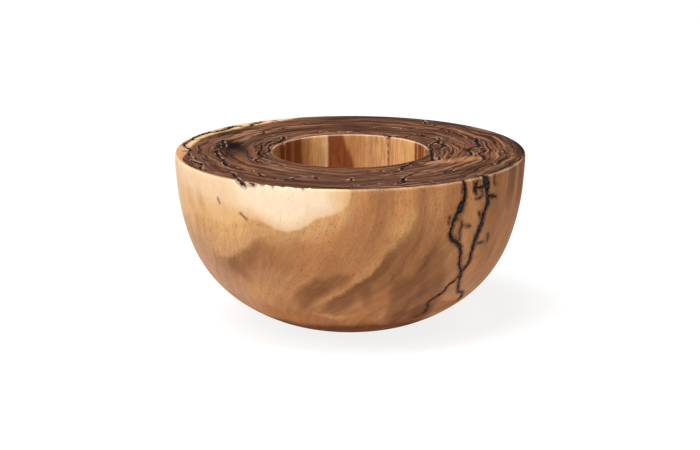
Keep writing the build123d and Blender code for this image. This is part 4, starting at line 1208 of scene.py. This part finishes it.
# the grain shows more in some places than in others
patchy = w.span(w.noise(w.scaled(fib, 1 / 24.0, 1 / 24.0, 1 / 30.0), 1, 2, 0.5), 0.36, 0.64, 0.25, 1.0)
side_c = shade(side_c, s_broad, 0.86, 1.14, fig)
side_c = shade(side_c, s_smoke, 0.84, 1.16, fig)
grain_k = w.attr("grain_k", "Fac")
side_c = shade(side_c, s_mid, 0.88, 1.12, w.math("MULTIPLY", w.math("MULTIPLY", fig, patchy), grain_k))
side_c = shade(side_c, s_fine, 0.86, 1.14, w.math("MULTIPLY", w.math("MULTIPLY", fig, grain_k), w.math("MULTIPLY_ADD", patchy, 0.5, 0.25)))
pore_m = w.math("MULTIPLY", w.span(s_pore, 0.30, 0.37, 1, 0), w.math("MULTIPLY", fig, w.span(grain_k, 1.0, 2.0, 0.62, 0.15)))
side_c = w.mix(pore_m, side_c, TONE["dusk"])
red_m = w.math("MULTIPLY", w.span(fleck, 0.52, 0.72, 0, 1), w.math("MULTIPLY", fig, 0.25))
side_c = w.mix(red_m, side_c, TONE["ochre"])

# end grain: rings
r_broad = w.noise(w.scaled(rng, 1 / 11.0, 1 / 120, 1 / 120), 1, 2, 0.5)
r_mid = w.noise(w.scaled(rng, 1 / 3.6, 1 / 105, 1 / 105), 1, 3, 0.5)
r_fine = w.noise(w.scaled(rng, 1 / 0.9, 1 / 48, 1 / 48), 1, 2, 0.55)
r_line = w.noise(w.scaled(rng, 1 / 6.0, 1 / 150, 1 / 150), 1, 2, 0.5)
r_line2 = w.noise(w.scaled(rng, 1 / 3.4, 1 / 90, 1 / 90), 1, 2, 0.5)
r_spot = w.noise(w.scaled(rng, 1 / 4.5, 1 / 26, 1 / 26), 1, 3, 0.6)
r_glow = w.noise(w.scaled(rng, 1 / 7.0, 1 / 70, 1 / 70), 1, 3, 0.55)
end_c = paint_c


lively = w.attr("lively", "Fac")


def shade_k(base, src, lo, hi):
    k = w.math("MULTIPLY_ADD", w.math("SUBTRACT", w.span(src, 0.3, 0.7, lo, hi), 1.0), lively, 1.0)
    return w.mix(1.0, base, w.grey(k), "MULTIPLY")


end_c = shade_k(end_c, r_broad, 0.66, 1.34)
end_c = shade_k(end_c, r_mid, 0.42, 1.58)
end_c = shade_k(end_c, r_fine, 0.78, 1.22)
end_c = w.mix(w.math("MULTIPLY", lively, w.span(r_glow, 0.50, 0.66, 0.0, 0.6)), end_c, TONE["clay"])
end_c = w.mix(w.math("MULTIPLY", lively, w.span(r_mid, 0.56, 0.70, 0.0, 0.6)), end_c, TONE["fawn"])
thin = w.span(w.math("ABSOLUTE", w.math("SUBTRACT", r_line, 0.5)), 0.014, 0.040, 0.95, 0.0)
thin2 = w.span(w.math("ABSOLUTE", w.math("SUBTRACT", r_line2, 0.46)), 0.010, 0.036, 0.85, 0.0)
end_c = w.mix(w.math("MULTIPLY", thin, w.span(r_spot, 0.38, 0.52, 0.25, 1.0)), end_c, (30, 18, 14))
end_c = w.mix(w.math("MULTIPLY", thin2, w.span(r_spot, 0.46, 0.58, 1.0, 0.0)), end_c, (36, 22, 17))
end_c = w.mix(w.span(r_spot, 0.58, 0.72, 0.0, 0.35), end_c, TONE["ochre"])
end_c = w.mix(w.span(r_spot, 0.26, 0.42, 0.20, 0.0), end_c, (84, 66, 66))
# dark stains, and the painted shade along the right and back rim
end_c = w.mix(w.attr("stain_and_rim_shade", "Fac"), end_c, (22, 14, 15))
end_c = w.mix(sap_m, end_c, pale_c)
# here and there a painted highlight: paler wood beside a channel, where its rounded edge catches the light
edge_highlight_dist = w.attr("fill_dist", "Fac")
edge_highlight_noise = w.noise(w.scaled(rng, 1 / 5.0, 1 / 9, 1 / 9), 1, 2, 0.5)
edge_highlight = w.math("MULTIPLY", w.span(edge_highlight_dist, 0.3, 0.7, 0, 1), w.span(edge_highlight_dist, 0.9, 2.0, 1, 0))
edge_highlight = w.math("MULTIPLY", edge_highlight, w.span(edge_highlight_noise, 0.50, 0.60, 0.0, 0.6))

col = w.mix(end_v, side_c, end_c)
# scorch beside the channels
burn_n = w.noise(w.scaled(w.attr("fibre", "Vector"), 1 / 2.2, 1 / 2.2, 1 / 3.5), 1, 3, 0.6)
burn_d = w.math("ADD", chan_v, w.math("MULTIPLY", w.math("SUBTRACT", burn_n, 0.5), 2.4))
scorch = w.span(burn_d, 0.2, 3.6, 0.8, 0.0, "SMOOTHSTEP")
scorch = w.math("MULTIPLY", scorch, w.span(end_v, 0, 1, 1.0, 0.7))
col = w.mix(scorch, col, (88, 50, 34))
# painted highlight on the channel edges, on the end grain only
col = w.mix(w.math("MULTIPLY", edge_highlight, end_v), col, (204, 162, 134))
char = w.span(burn_d, -0.15, 0.35, 1.0, 0.0, "SMOOTHSTEP")
col = w.mix(char, col, (26, 20, 18))
w.link(col, w.bsdf.inputs["Base Color"])
rough = w.span(s_mid, 0.3, 0.7, 0.38, 0.5)
rough = w.math("ADD", rough, w.math("MULTIPLY", w.attr("matt", "Fac"), 0.45))
w.link(rough, w.bsdf.inputs["Roughness"])
w.bsdf.inputs["Specular IOR Level"].default_value = 0.05
bump = w.t.nodes.new("ShaderNodeBump")
bump.inputs["Strength"].default_value = 0.35
bump.inputs["Distance"].default_value = 0.0004
h_side = w.math("ADD", w.math("MULTIPLY", s_fine, 0.6), w.math("MULTIPLY", s_pore, 0.5))
h_end = w.math("ADD", w.math("MULTIPLY", r_fine, 0.6), w.math("MULTIPLY", r_mid, 0.8))
hgt = w.t.nodes.new("ShaderNodeMix")
w.link(end_v, hgt.inputs[0])
w.link(h_side, hgt.inputs[2])
w.link(h_end, hgt.inputs[3])
w.link(hgt.outputs[0], bump.inputs["Height"])
w.link(bump.outputs[0], w.bsdf.inputs["Normal"])
wood.data.materials.append(w.mat)

c = Nodes("char_resin")
tex = c.t.nodes.new("ShaderNodeTexCoord")
c_n = c.noise(tex.outputs["Object"], 700, 4, 0.65)
c_m = c.noise(tex.outputs["Object"], 260, 3, 0.6)
# black char; the grey-green stops at the top of the ramp are painted glints, reflections on the glossy fill
c.link(c.ramp(c_m, [(0.36, (5, 5, 6)), (0.56, (12, 12, 12)), (0.66, (34, 38, 36)), (0.80, (88, 98, 94))]), c.bsdf.inputs["Base Color"])
c.link(c.span(c_n, 0.3, 0.7, 0.2, 0.6), c.bsdf.inputs["Roughness"])
c.bsdf.inputs["Specular IOR Level"].default_value = 0.2
cb = c.t.nodes.new("ShaderNodeBump")
cb.inputs["Strength"].default_value = 0.8
cb.inputs["Distance"].default_value = 0.0009
c.link(c_n, cb.inputs["Height"])
c.link(cb.outputs[0], c.bsdf.inputs["Normal"])
for ob in fills.values():
    ob.data.materials.append(c.mat)

p = Nodes("pad_rubber")
tex = p.t.nodes.new("ShaderNodeTexCoord")
p_n = p.noise(tex.outputs["Object"], 900, 3, 0.6)
p.link(p.ramp(p_n, [(0.3, (26, 26, 27)), (0.7, (44, 44, 45))]), p.bsdf.inputs["Base Color"])
p.link(p.span(p_n, 0.3, 0.7, 0.6, 0.85), p.bsdf.inputs["Roughness"])
pb = p.t.nodes.new("ShaderNodeBump")
pb.inputs["Strength"].default_value = 0.4
pb.inputs["Distance"].default_value = 0.0002
p.link(p_n, pb.inputs["Height"])
p.link(pb.outputs[0], p.bsdf.inputs["Normal"])
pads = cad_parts["foot_pads"]
pads.data.materials.clear()
pads.data.materials.append(p.mat)
